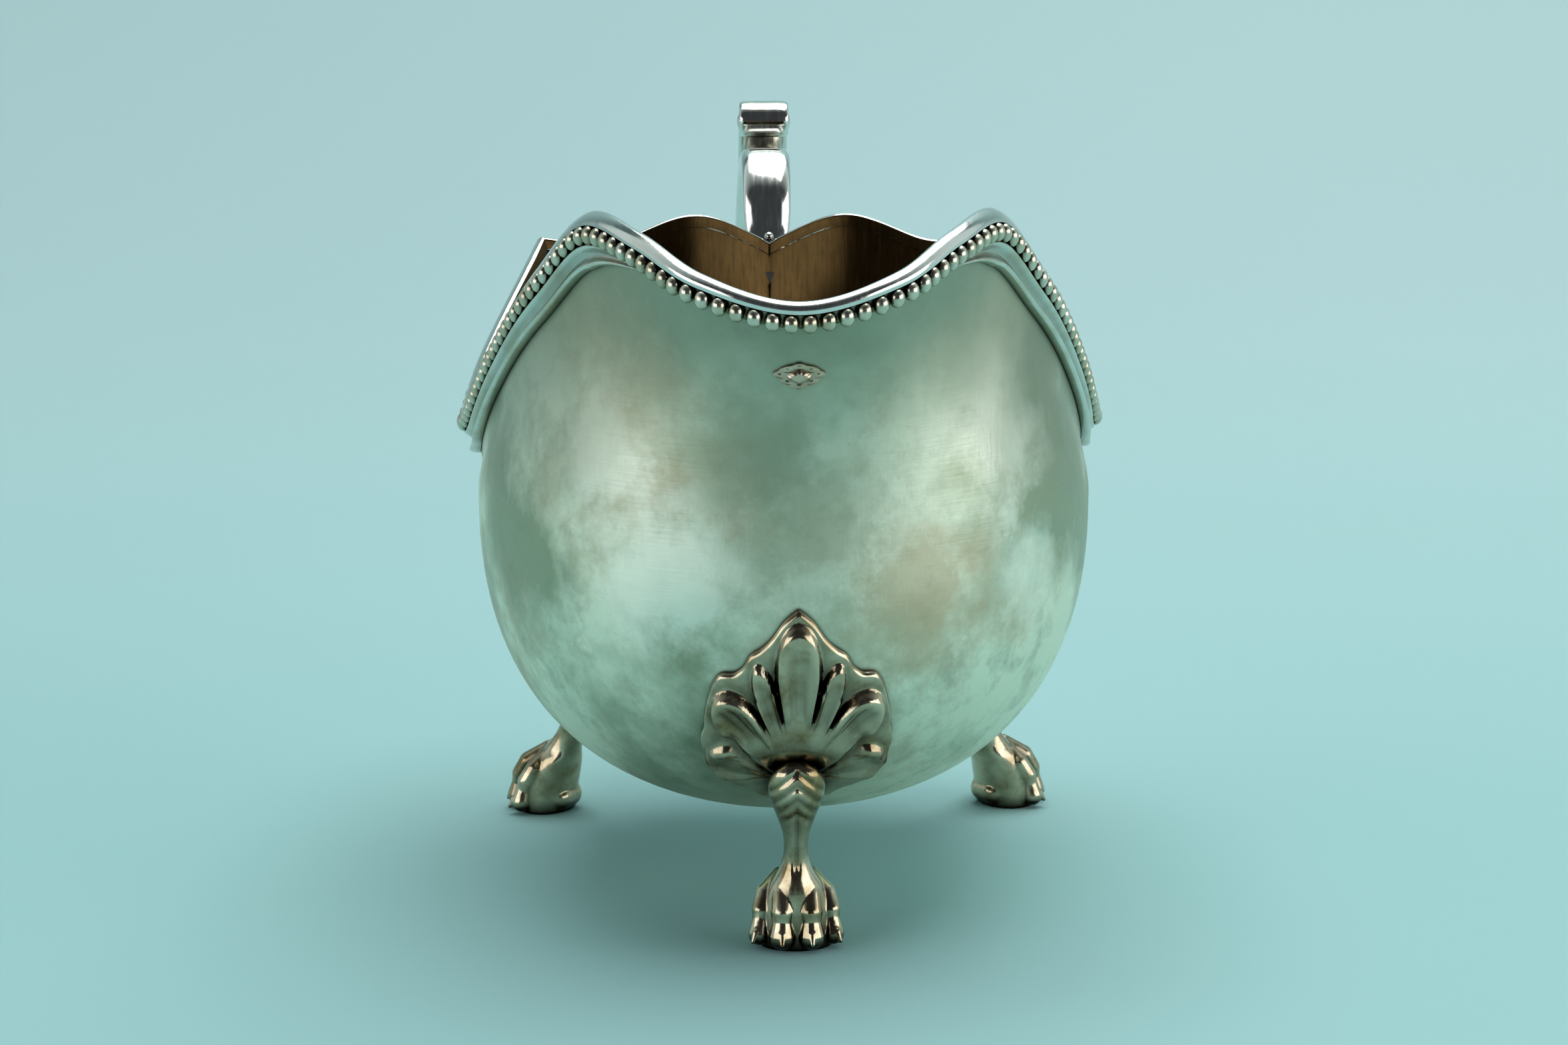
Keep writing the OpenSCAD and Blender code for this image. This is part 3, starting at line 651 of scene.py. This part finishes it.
def leaf_height(q, r, edge):
    """Height of the leaf's face over the bowl at angle q (degrees) and reach r (mm)."""
    q = np.abs(q)
    rib = 0.09 * np.cos(np.radians(q) * 76) * smoothstep(3, 9, r)
    h = 0.35 + 0.5 * (1 - smoothstep(13, 23, r)) + 0.35 * smoothstep(0.74, 0.97, r / edge)
    for middle, half, reach, high, dish in LOBES:
        c = (q - middle) / half
        t = r / reach
        out = np.hypot(c, np.clip((t - 0.62) / 0.38, 0, None))
        lip = np.exp(-(((out - 0.74) / 0.15) ** 2)) * (0.55 + 0.45 * smoothstep(0.3, 0.8, t))
        inner = 1 - dish * (1 - smoothstep(0.1, 0.74, out)) * smoothstep(0.2, 0.6, t)
        body = (inner + 0.22 * lip) * high * (0.3 + 0.7 * smoothstep(0.08, 0.75, t))
        fall = 1 - smoothstep(0.8, 1.02, out) * smoothstep(8, 19, r)
        h = np.maximum(h, 0.2 + (body + rib * (out < 0.7)) * fall)
    groove = np.exp(-(((q - 57 + (r - 5) * 1.4) / 5.0) ** 2))
    groove = groove * smoothstep(3.5, 6, r) * (1 - smoothstep(13, 16, r))
    h = h * (1 - 0.75 * groove)
    rim = 1 - smoothstep(0.975, 1.0, r / edge)
    return LEAF_SEAT + 0.25 + h * (0.25 + 0.75 * rim)


def belly_normal(p):
    """The way out of the belly at points p."""
    reach = np.where(p[..., 1] < 0, BELLY_FRONT, BELLY_BACK)
    u = np.clip((BELLY_Z - p[..., 2]) / BELLY_DROP, 0, 1)
    r = np.hypot(p[..., 0] / HALF_WIDTH, p[..., 1] / reach)
    k = r ** (FULLNESS - 2)
    return unit(np.stack([
        k * p[..., 0] / HALF_WIDTH**2, k * p[..., 1] / reach**2, -(u ** (FULLNESS - 1)) / BELLY_DROP,
    ], -1))


def belly_path(rho):
    """Depth angles and the (out, height) line down the belly where its half width is rho."""
    t = np.radians(np.arange(0, 86, 3.0))
    return t, np.stack([rho * belly_r(t), BELLY_Z - BELLY_DROP * np.sin(t) ** (2 / FULLNESS)], -1)


def on_belly(phi, a, v, h):
    """a across and v down the belly from its widest line at angle phi (degrees), h out from it."""
    f = math.radians(phi)
    reach = BELLY_FRONT if math.cos(f) > 0 else BELLY_BACK
    rho = math.hypot(HALF_WIDTH * math.sin(f), reach * math.cos(f))
    t, path = belly_path(rho)
    t_at = np.interp(v, lengths(path), t)
    across = math.hypot(HALF_WIDTH * math.cos(f), BELLY_FRONT * math.sin(f)) * belly_r(t_at)
    p = belly_at(f + a / across, t_at)
    return p + belly_normal(p) * np.asarray(h)[..., None]


def leaf(phi):
    """The cast leaf at belly angle phi, its rings running from the tip's edge to the growth point."""
    q = np.concatenate([np.arange(-60, 60, 0.75), np.arange(60, 300, 4.0)])
    q = (q + 180) % 360 - 180
    edge = curve([(a, b) for a, b in LEAF_EDGE], np.abs(q)) * LEAF_LENGTH
    f = np.concatenate([[0.02], np.linspace(0.06, 0.9, 44), np.linspace(0.92, 1, 9)])
    rings = []
    for k in f[::-1]:
        r = k * edge
        rings.append(on_belly(phi, r * np.sin(np.radians(q)), GROWTH - r * np.cos(np.radians(q)),
                              leaf_height(q, r, edge)))
    under = on_belly(phi, edge * np.sin(np.radians(q)), GROWTH - edge * np.cos(np.radians(q)),
                     np.full(len(q), LEAF_SEAT))
    return skin([under] + rings, True)


REAR_ANGLE = 129.0
REAR_LEAF = 3.4 + math.degrees(math.atan2(
    math.sin(math.radians(REAR_ANGLE)) / HALF_WIDTH, math.cos(math.radians(REAR_ANGLE)) / BELLY_BACK
))
for name, side, phi in (("front", 1, 0.0), ("right", 1, REAR_LEAF), ("left", -1, REAR_LEAF)):
    points, faces = leaf(phi)
    if side < 0:
        points, faces = mirrored(points), [f[::-1] for f in faces]
    o = add_mesh(name + "_leaf_casting", points, faces, cast_plate, 60)
    own(o, "cast_leaf", name + "_leaf")

# ---- legs ----
# the leg's outline as (height, forwards, half width, half depth)
LEG_RINGS = [
    (30.2, 0.9, 1.6, 0.8), (29, 1, 3, 1.6), (27, 0, 4.2, 3), (24.5, -0.9, 4.2, 3.6),
    (22.5, -1.6, 3.6, 3.4), (20, -2.6, 2.7, 3), (17.5, -3.3, 2, 2.7), (14, -3.9, 1.95, 2.6),
    (11.5, -4.1, 2.8, 3.2), (9.5, -4.3, 4.0, 3.9), (7, -4.5, 4.9, 4.4), (3, -4.6, 5.6, 4.7),
    (0.0, -4.6, 5.6, 4.6),
]
KNEE_Z = 27.0
KNEE_STAND = 3.7  # the knee's middle out from the belly
LEAF_ROOM = 1.5  # space for the leaf between the belly and the leg
REAR_TOES = 120.0
REAR_SPREAD = 13.0


def belly_share(z):
    """The belly's share of its full width at height z."""
    u = np.clip((BELLY_Z - z) / BELLY_DROP, 0, 1)
    return np.where(z <= FOOT_HEIGHT, 0, (1 - u**FULLNESS) ** (1 / FULLNESS))


def tube(a, b, ra, rb, segments=20, steps=8):
    """A round-ended bar from a to b, of radius ra at a and rb at b."""
    a, b = np.array(a, float), np.array(b, float)
    way = unit(b - a)
    side = unit(np.cross(way, (0.13, 0.9, 0.4)))
    other = np.cross(way, side)
    circles = []
    for k in range(steps + 1):
        t = math.pi / 2 * (1 - k / steps)
        circles.append((a - way * ra * math.sin(t), ra * math.cos(t)))
    for k in range(steps + 1):
        t = math.pi / 2 * k / steps
        circles.append((b + way * rb * math.sin(t), rb * math.cos(t)))
    w = np.linspace(0, 2 * math.pi, segments, endpoint=False)[:, None]
    return skin([c + max(r, 0.01) * (np.cos(w) * side + np.sin(w) * other) for c, r in circles])


# toes as bars between balls: (forwards, sideways, up, radius), from the instep down to the claw
INNER_TOE = [(-1.2, 1.1, 11.0, 1.2), (2.2, 1.95, 8.3, 1.75), (3.6, 2.1, 5.9, 1.75),
             (3.9, 2.15, 4.5, 1.5), (4.1, 2.2, 2.35, 2.05)]
OUTER_TOE = [(-1.8, 2.4, 10.4, 1.2), (-0.4, 4.5, 7.9, 1.6), (0.9, 5.2, 5.6, 1.55),
             (1.3, 5.35, 4.3, 1.3), (1.7, 5.55, 2.1, 1.75)]
INNER_CLAW = ((5.4, 2.25, 2.9, 0.75), (6.2, 2.3, 1.5, 0.4))
OUTER_CLAW = ((2.8, 6.1, 2.6, 0.65), (3.4, 6.6, 1.3, 0.35))


def leg(phi, toe_angle, spread):
    """A leg whose knee is at belly angle phi; its toes point along toe_angle, spread mm further out."""
    f, g = math.radians(phi), math.radians(toe_angle)
    reach = BELLY_FRONT if math.cos(f) > 0 else BELLY_BACK
    belly = belly_share(KNEE_Z) / math.hypot(math.sin(f) / HALF_WIDTH, math.cos(f) / reach)
    knee = np.array([math.sin(f), -math.cos(f)]) * (belly + KNEE_STAND)
    ahead = np.array([math.sin(g), -math.cos(g)])
    aside = np.array([math.cos(g), math.sin(g)])
    h = math.radians(phi + 8)
    lean = np.array([math.sin(h), -math.cos(h)]) * spread

    def centre(z, c):
        drop = min(max((KNEE_Z - z) / KNEE_Z, 0), 1)
        return knee + ahead * c + lean * math.sin(math.pi / 2 * drop) ** 2

    table = np.array(LEG_RINGS)[::-1]
    w = np.linspace(0, 2 * math.pi, 72, endpoint=False)
    rings = []
    for z in np.concatenate([np.linspace(0, 12, 20), np.linspace(12.2, 30.2, 110)]):
        c, wide, deep = (curve(table[:, [0, k]], z) for k in (1, 2, 3))
        x, y = wide * np.sin(w), deep * np.cos(w)
        front = np.clip(np.cos(w), 0, 1)
        # feathered chevrons on the knee and a groove down the shin
        phase = (z + 0.85 * np.abs(x)) / 2.3
        chevron = (np.abs((phase % 1) - 0.5) * 2) ** 0.7
        knee_top = 1 - smoothstep(27.6, 28.6, z + 0.85 * np.abs(x) - 1.2)
        on_knee = smoothstep(19.5, 21.5, z) * knee_top
        cut = -0.42 * (1 - chevron) * on_knee * front**0.5
        on_shin = smoothstep(11, 13, z) * (1 - smoothstep(21.5, 24, z))
        cut = cut - 0.55 * np.exp(-((x / 0.45) ** 2)) * front * on_shin
        x, y = x * (1 + cut / max(wide, 1)), y + cut * front
        p = centre(z, c)[None, :] + np.outer(y, ahead) + np.outer(x, aside)
        ring = np.column_stack([p, np.full(len(w), z)])
        if z > FOOT_HEIGHT + 3:
            along_y = np.where(ring[:, 1] < 0, BELLY_FRONT, BELLY_BACK)
            share = np.hypot(ring[:, 0] / HALF_WIDTH, ring[:, 1] / along_y)
            least = belly_share(z) + LEAF_ROOM / HALF_WIDTH
            k = np.maximum(1, least / share)
            ring[:, 0] *= k
            ring[:, 1] *= k
        rings.append(ring)
    parts = [skin(rings)]
    foot = centre(0, -4.6)

    def place(b, side=1):
        q = foot + ahead * b[0] + aside * b[1] * side
        return (q[0], q[1], b[2])

    for side in (-1, 1):
        for toe, claw in ((INNER_TOE, INNER_CLAW), (OUTER_TOE, OUTER_CLAW)):
            for a, b in zip(toe, toe[1:]):
                parts.append(tube(place(a, side), place(b, side), a[3], b[3]))
            parts.append(tube(place(claw[0], side), place(claw[1], side), claw[0][3], claw[1][3]))
    parts.append(tube(place((-3.2, -1.5, 2.6)), place((-3.2, 1.5, 2.6)), 2.4, 2.4))
    points, faces = joined(parts)
    points[:, 2] = np.maximum(points[:, 2], 0.02)
    return points, faces


for name, side, angles in (
    ("front", 1, (0.0, 0.0, 0.0)),
    ("right", 1, (REAR_ANGLE, REAR_TOES, REAR_SPREAD)),
    ("left", -1, (REAR_ANGLE, REAR_TOES, REAR_SPREAD)),
):
    points, faces = leg(*angles)
    if side < 0:
        points, faces = mirrored(points), [f[::-1] for f in faces]
    o = add_mesh(name + "_leg_casting", points, faces, cast_plate, 180)
    melt = o.modifiers.new("melt", "REMESH")
    melt.mode = "VOXEL"
    melt.voxel_size = 0.00018 if name == "front" else 0.00025
    melt.use_smooth_shade = True
    ease = o.modifiers.new("ease", "SMOOTH")
    ease.factor = 0.5
    ease.iterations = 2
    own(o, "cast_leg", name + "_leg")


# ---- handle ----
def wall_line(i, d):
    """The outside of the wall d below the rim at station i."""
    if d <= COLLAR:
        return by_wall(i, 0, d)
    u = min(1.0, (d - COLLAR) / throat[i])
    return hermite(collar_end[i], belly_top[i], rim_down[i], STRAIGHT_DOWN, throat[i], u)


def near_middle(at_lip, a, d, h):
    """a across and d down from the rim at the lip or the back point, h out from the wall."""
    origin, way = (0, 1) if at_lip else (LAST, -1)
    k = 0
    while wall_line(origin + way * (k + 1), d)[0] <= abs(a):
        k += 1
    p, q = wall_line(origin + way * k, d), wall_line(origin + way * (k + 1), d)
    p = p + (q - p) * (abs(a) - p[0]) / (q[0] - p[0])
    tilt = flare[origin]
    out = np.array([0, -math.cos(tilt) if at_lip else math.cos(tilt), -math.sin(tilt)])
    return (mirrored(p) if a < 0 else p) + out * h


def wall_boss(at_lip, d0, width, height, shape, rise):
    """A boss on the wall; shape gives its outline and rise its height, both by angle and reach."""
    q = np.radians(np.arange(0, 360, 4.0))
    rings = []
    levels = [(1.0, SEAT)]
    levels += [(f, None) for f in (1.0, 0.96, 0.9, 0.8, 0.7, 0.6, 0.5, 0.4, 0.3, 0.2, 0.1, 0.02)]
    for f, h in levels:
        rings.append([
            near_middle(
                at_lip, f * width / 2 * shape(b) * math.sin(b),
                d0 - f * height / 2 * shape(b) * math.cos(b), SEAT + rise(b, f) if h is None else h,
            )
            for b in q
        ])
    return skin(rings, at_lip)


def badge_shape(b):
    return 0.86 + 0.14 * math.cos(4 * b) ** 2 * math.cos(2 * b) ** 2


def badge_rise(b, f):
    """A raised middle inside a scalloped border."""
    middle = 0.55 * (1 - smoothstep(0.35, 0.5, f))
    border = 0.35 * math.exp(-(((f - 0.75) / 0.12) ** 2)) * (0.6 + 0.4 * math.cos(8 * b))
    return 0.3 + middle + border


def pad_shape(b):
    return 1.0


def pad_rise(b, f):
    return SOCKET_EDGE + SOCKET_RISE * (1 - f**2)


BADGE_DROP, BADGE_WIDTH, BADGE_HEIGHT = 11.0, 7.6, 4.4
badge = add_mesh(
    "plain_cartouche",
    *wall_boss(True, BADGE_DROP, BADGE_WIDTH, BADGE_HEIGHT, badge_shape, badge_rise),
    badge_plate, 60,
)
own(badge, "cartouche", "cartouche")

SOCKET_EDGE = 0.9
SOCKET_RISE = 2.6
SOCKET_WIDTH, SOCKET_HEIGHT = 9.6, 8.4
SOCKET_DROP = BEAD_ZONE + SOCKET_HEIGHT / 2 + 0.4
socket = add_mesh(
    "upper_pad",
    *wall_boss(False, SOCKET_DROP, SOCKET_WIDTH, SOCKET_HEIGHT, pad_shape, pad_rise),
    handle_plate, 60,
)
own(socket, "handle", "upper_socket")

LOWER_Z = 46.0
PAD = 1.6
PAD_ACROSS, PAD_UP = 6.5, 7.5  # half sizes
pad_path = belly_path(BELLY_BACK)[1]
pad_v = np.interp(-LOWER_Z, -pad_path[:, 1], lengths(pad_path))
pad_q = np.radians(np.arange(0, 360, 5.0))
# the pad's dome as (share of its size, height)
PAD_DOME = [
    (1, 0), (1, 0.6), (0.97, 0.85), (0.9, 1.15), (0.8, 1.4), (0.6, PAD), (0.3, PAD), (0.02, PAD),
]
pad_rings = [
    on_belly(
        180, f * PAD_ACROSS * np.sin(pad_q), pad_v - f * PAD_UP * np.cos(pad_q),
        np.full(len(pad_q), SEAT + h),
    )
    for f, h in PAD_DOME
]
pad = add_mesh("lower_pad", *skin(pad_rings, False), handle_plate, 60)
own(pad, "handle", "lower_socket")

# the strap's middle line, from the upper pad over the arch and round to the lower pad
strap_start = near_middle(False, 0.0, SOCKET_DROP, SOCKET_EDGE + SOCKET_RISE + 0.6)
strap_end = BELLY_BACK * float(belly_share(LOWER_Z)) + PAD + 0.6
strap_points = np.concatenate([
    [strap_start],
    [(0, y, z) for y, z in (
        (70.6, 93), (73.2, 100.5), (78.5, 104.6), (86, 103.2), (94, 97), (100.5, 87), (103, 75.5),
        (100.5, 64), (93.5, 55), (83, 49.5), (72, 47),
    )],
    [(0, strap_end, LOWER_Z)],
])
strap_line = smooth_line(strap_points, 14, (0, 0.97, 0.24))
strap_last = len(strap_line) - 1
strap_way = unit(strap_line[np.minimum(np.arange(strap_last + 1) + 1, strap_last)]
                 - strap_line[np.maximum(np.arange(strap_last + 1) - 1, 0)])
strap_out = np.stack([0 * strap_way[:, 0], -strap_way[:, 2], strap_way[:, 1]], -1)
strap_place = np.arange(strap_last + 1) / strap_last
strap_wide = np.interp(strap_place, (0, 0.12, 0.3, 0.55, 0.8, 1), (0.72, 0.95, 1, 1.14, 1, 0.75))
strap_deep = np.interp(strap_place, (0, 0.12, 0.3, 0.6, 1), (0.8, 0.9, 1, 1, 0.7))


def rounded_box(across, deep):
    """A unit outline, squarer as the two powers get smaller."""
    t = np.radians(np.arange(0, 360, 7.5))
    return np.stack([
        np.sign(np.sin(t)) * np.abs(np.sin(t)) ** across * 0.5,
        np.sign(np.cos(t)) * np.abs(np.cos(t)) ** deep * 0.5,
    ], -1)


round_box = rounded_box(0.55, 0.75)
strap_rings = [
    strap_line[i] + np.outer(round_box[:, 0] * STRAP_WIDTH * strap_wide[i], (1, 0, 0))
    + np.outer(round_box[:, 1] * STRAP_THICKNESS * strap_deep[i], strap_out[i])
    for i in range(strap_last + 1)
]
strap = add_mesh("strap", *skin(strap_rings, True), handle_plate, 60)
own(strap, "handle", "handle_strap")

# the scroll: a sheet that leaves the strap half-way along and rolls up into the thumb rest
root_i = round(strap_last * 0.5)
SHEET = 1.5
scroll_root = strap_line[root_i] + strap_out[root_i] * (STRAP_THICKNESS / 2 + SHEET / 2 + SEAT)
roll_centre = np.array([0, 87.2, 106.8 + SCROLL / 2])
roll_r = (SCROLL - SHEET) / 2
scroll_points = [scroll_root, (0, 97, 99.5), (0, 93.4, 106)] + [
    roll_centre + np.array([0, math.cos(math.radians(b)), math.sin(math.radians(b))])
    * roll_r * (1 - 0.55 * (b - 25) / 360)
    for b in range(25, 386, 36)
]
scroll_line = smooth_line(scroll_points, 10, -strap_way[root_i])
n = len(scroll_line)
ahead_i, behind_i = np.minimum(np.arange(n) + 1, n - 1), np.maximum(np.arange(n) - 1, 0)
scroll_way = unit(scroll_line[ahead_i] - scroll_line[behind_i])
scroll_out = np.stack([0 * scroll_way[:, 0], scroll_way[:, 2], -scroll_way[:, 1]], -1)
flat_box = rounded_box(0.3, 0.6)
scroll_rings = [
    scroll_line[i] + np.outer(flat_box[:, 0] * STRAP_WIDTH * 0.98, (1, 0, 0))
    + np.outer(flat_box[:, 1] * SHEET, scroll_out[i])
    for i in range(n)
]
eyes = [
    ball(roll_centre + np.array([side * STRAP_WIDTH * 0.46, 0, 0]), (0.7, 1.5, 1.5), None, 24, 16)
    for side in (-1, 1)
]
scroll = add_mesh("scroll", *joined([skin(scroll_rings)] + eyes), handle_plate, 60)
own(scroll, "handle", "thumb_scroll")


# ---- room ----
def stage_mesh(name, points, faces, material):
    mesh = bpy.data.meshes.new(name)
    mesh.from_pydata(points, [], faces)
    mesh.materials.append(material)
    mesh.shade_smooth()
    o = bpy.data.objects.new(name, mesh)
    bpy.context.scene.collection.objects.link(o)
    return o


paper, tree, shader = node_material("paper")
shader.inputs["Roughness"].default_value = 0.9
paper_place = tree.nodes.new("ShaderNodeTexCoord")
paper_axes = tree.nodes.new("ShaderNodeSeparateXYZ")
tree.links.new(paper_place.outputs["Object"], paper_axes.inputs["Vector"])
# painted shade in the paper's colour: darker and more teal on the floor round the boat than up the
# backdrop, and darker towards the left
SHADED_NEAR_PAPER, FAR_PAPER, LEFT_PAPER_SHADE = (0.335, 0.585, 0.585), (0.425, 0.605, 0.61), (0.2, 0.4, 0.42)
tone = blend(tree, ramp(tree, paper_axes.outputs["Y"], 0.0, 0.55), SHADED_NEAR_PAPER, FAR_PAPER)
tone = blend(tree, ramp(tree, paper_axes.outputs["X"], -0.12, 0.2, 0.12, 0.0), tone, LEFT_PAPER_SHADE)
tree.links.new(tone, shader.inputs["Base Color"])
# a sheet of paper, flat under the boat and curving up behind it (metres)
sweep_points, sweep_faces = [], []
PAPER_HALF, PAPER_TOP = 1.6, 2.2
PAPER_FRONT, PAPER_BEND, BEND = -1.3, 0.55, 0.45
profile = [(PAPER_FRONT, 0.0), (PAPER_BEND, 0.0)]
profile += [
    (PAPER_BEND + BEND * math.sin(math.radians(t)), BEND - BEND * math.cos(math.radians(t)))
    for t in range(6, 91, 6)
]
profile.append((PAPER_BEND + BEND, PAPER_TOP))
for y, z in profile:
    sweep_points += [(-PAPER_HALF, y, z), (PAPER_HALF, y, z)]
for k in range(len(profile) - 1):
    sweep_faces.append((2 * k, 2 * k + 1, 2 * k + 3, 2 * k + 2))
stage_mesh("paper_sweep", sweep_points, sweep_faces, paper)

# the room: dark behind the camera, pale behind and beside the boat
DARK_WALL, PALE_WALL = (0.04, 0.045, 0.05), (0.58, 0.70, 0.70)
world = bpy.data.worlds.new("room")
bpy.context.scene.world = world
world.use_nodes = True
tree = world.node_tree
direction = tree.nodes.new("ShaderNodeTexCoord")
parts_of = tree.nodes.new("ShaderNodeSeparateXYZ")
tree.links.new(direction.outputs["Generated"], parts_of.inputs["Vector"])
walls = blend(tree, ramp(tree, parts_of.outputs["Y"], -0.55, 0.3), DARK_WALL, PALE_WALL)
tree.links.new(walls, tree.nodes["Background"].inputs["Color"])


def area(name, place, target, size, power):
    """A white soft box at place, facing target; metres and watts."""
    data = bpy.data.lights.new(name, "AREA")
    data.shape = "RECTANGLE"
    data.size, data.size_y = size
    data.energy = power
    o = bpy.data.objects.new(name, data)
    o.location = place
    way = np.array(target, float) - np.array(place, float)
    z = -unit(way)
    upright = abs(z[2]) >= 0.99
    x = np.array([1.0, 0, 0]) if upright else unit(np.cross((0, 0, 1), z))
    y = np.cross(z, x)
    m = Matrix([(x[k], y[k], z[k], place[k]) for k in range(3)] + [(0, 0, 0, 1)])
    o.matrix_world = m
    bpy.context.scene.collection.objects.link(o)
    return o


area("top_box", (0.15, 0.42, 1.5), (0, 0.05, 0), (1.5, 1.5), 23.0)
area("left_box", (-1.25, -0.8, 0.33), (0, 0, 0.05), (1.5, 0.62), 5.6)
area("right_box", (1.25, -0.7, 0.36), (0, 0, 0.05), (1.6, 0.68), 8.0)

# ---- camera ----
# Its place is round the middle of the bowl: azimuth from straight ahead, distance along the floor
# and height in mm. Pitch is downwards.
CAM_AZIMUTH = math.radians(-2.13)
CAM_DISTANCE = 682.45
CAM_HEIGHT = 194.43
CAM_PITCH = math.radians(11.47)
CAM_YAW = math.radians(-0.01)
CAM_ROLL = math.radians(-0.19)
camera_data = bpy.data.cameras.new("camera")
camera_data.sensor_fit = "HORIZONTAL"
camera_data.sensor_width = 36.0
camera_data.lens = 100.0
camera = bpy.data.objects.new("camera", camera_data)
bpy.context.scene.collection.objects.link(camera)
bpy.context.scene.camera = camera
turn = CAM_AZIMUTH + CAM_YAW
level = np.array([-math.sin(turn), math.cos(turn), 0])
right = np.array([math.cos(turn), math.sin(turn), 0])
forward = level * math.cos(CAM_PITCH) + np.array([0, 0, -math.sin(CAM_PITCH)])
above = np.cross(right, forward)
x = right * math.cos(CAM_ROLL) + above * math.sin(CAM_ROLL)
y = -right * math.sin(CAM_ROLL) + above * math.cos(CAM_ROLL)
eye = np.array([
    CAM_DISTANCE * math.sin(CAM_AZIMUTH), -CAM_DISTANCE * math.cos(CAM_AZIMUTH) + SHIFT_Y,
    CAM_HEIGHT,
]) * MM
camera.matrix_world = Matrix([(x[k], y[k], -forward[k], eye[k]) for k in range(3)] + [(0, 0, 0, 1)])

bpy.context.scene.view_settings.view_transform = "Standard"
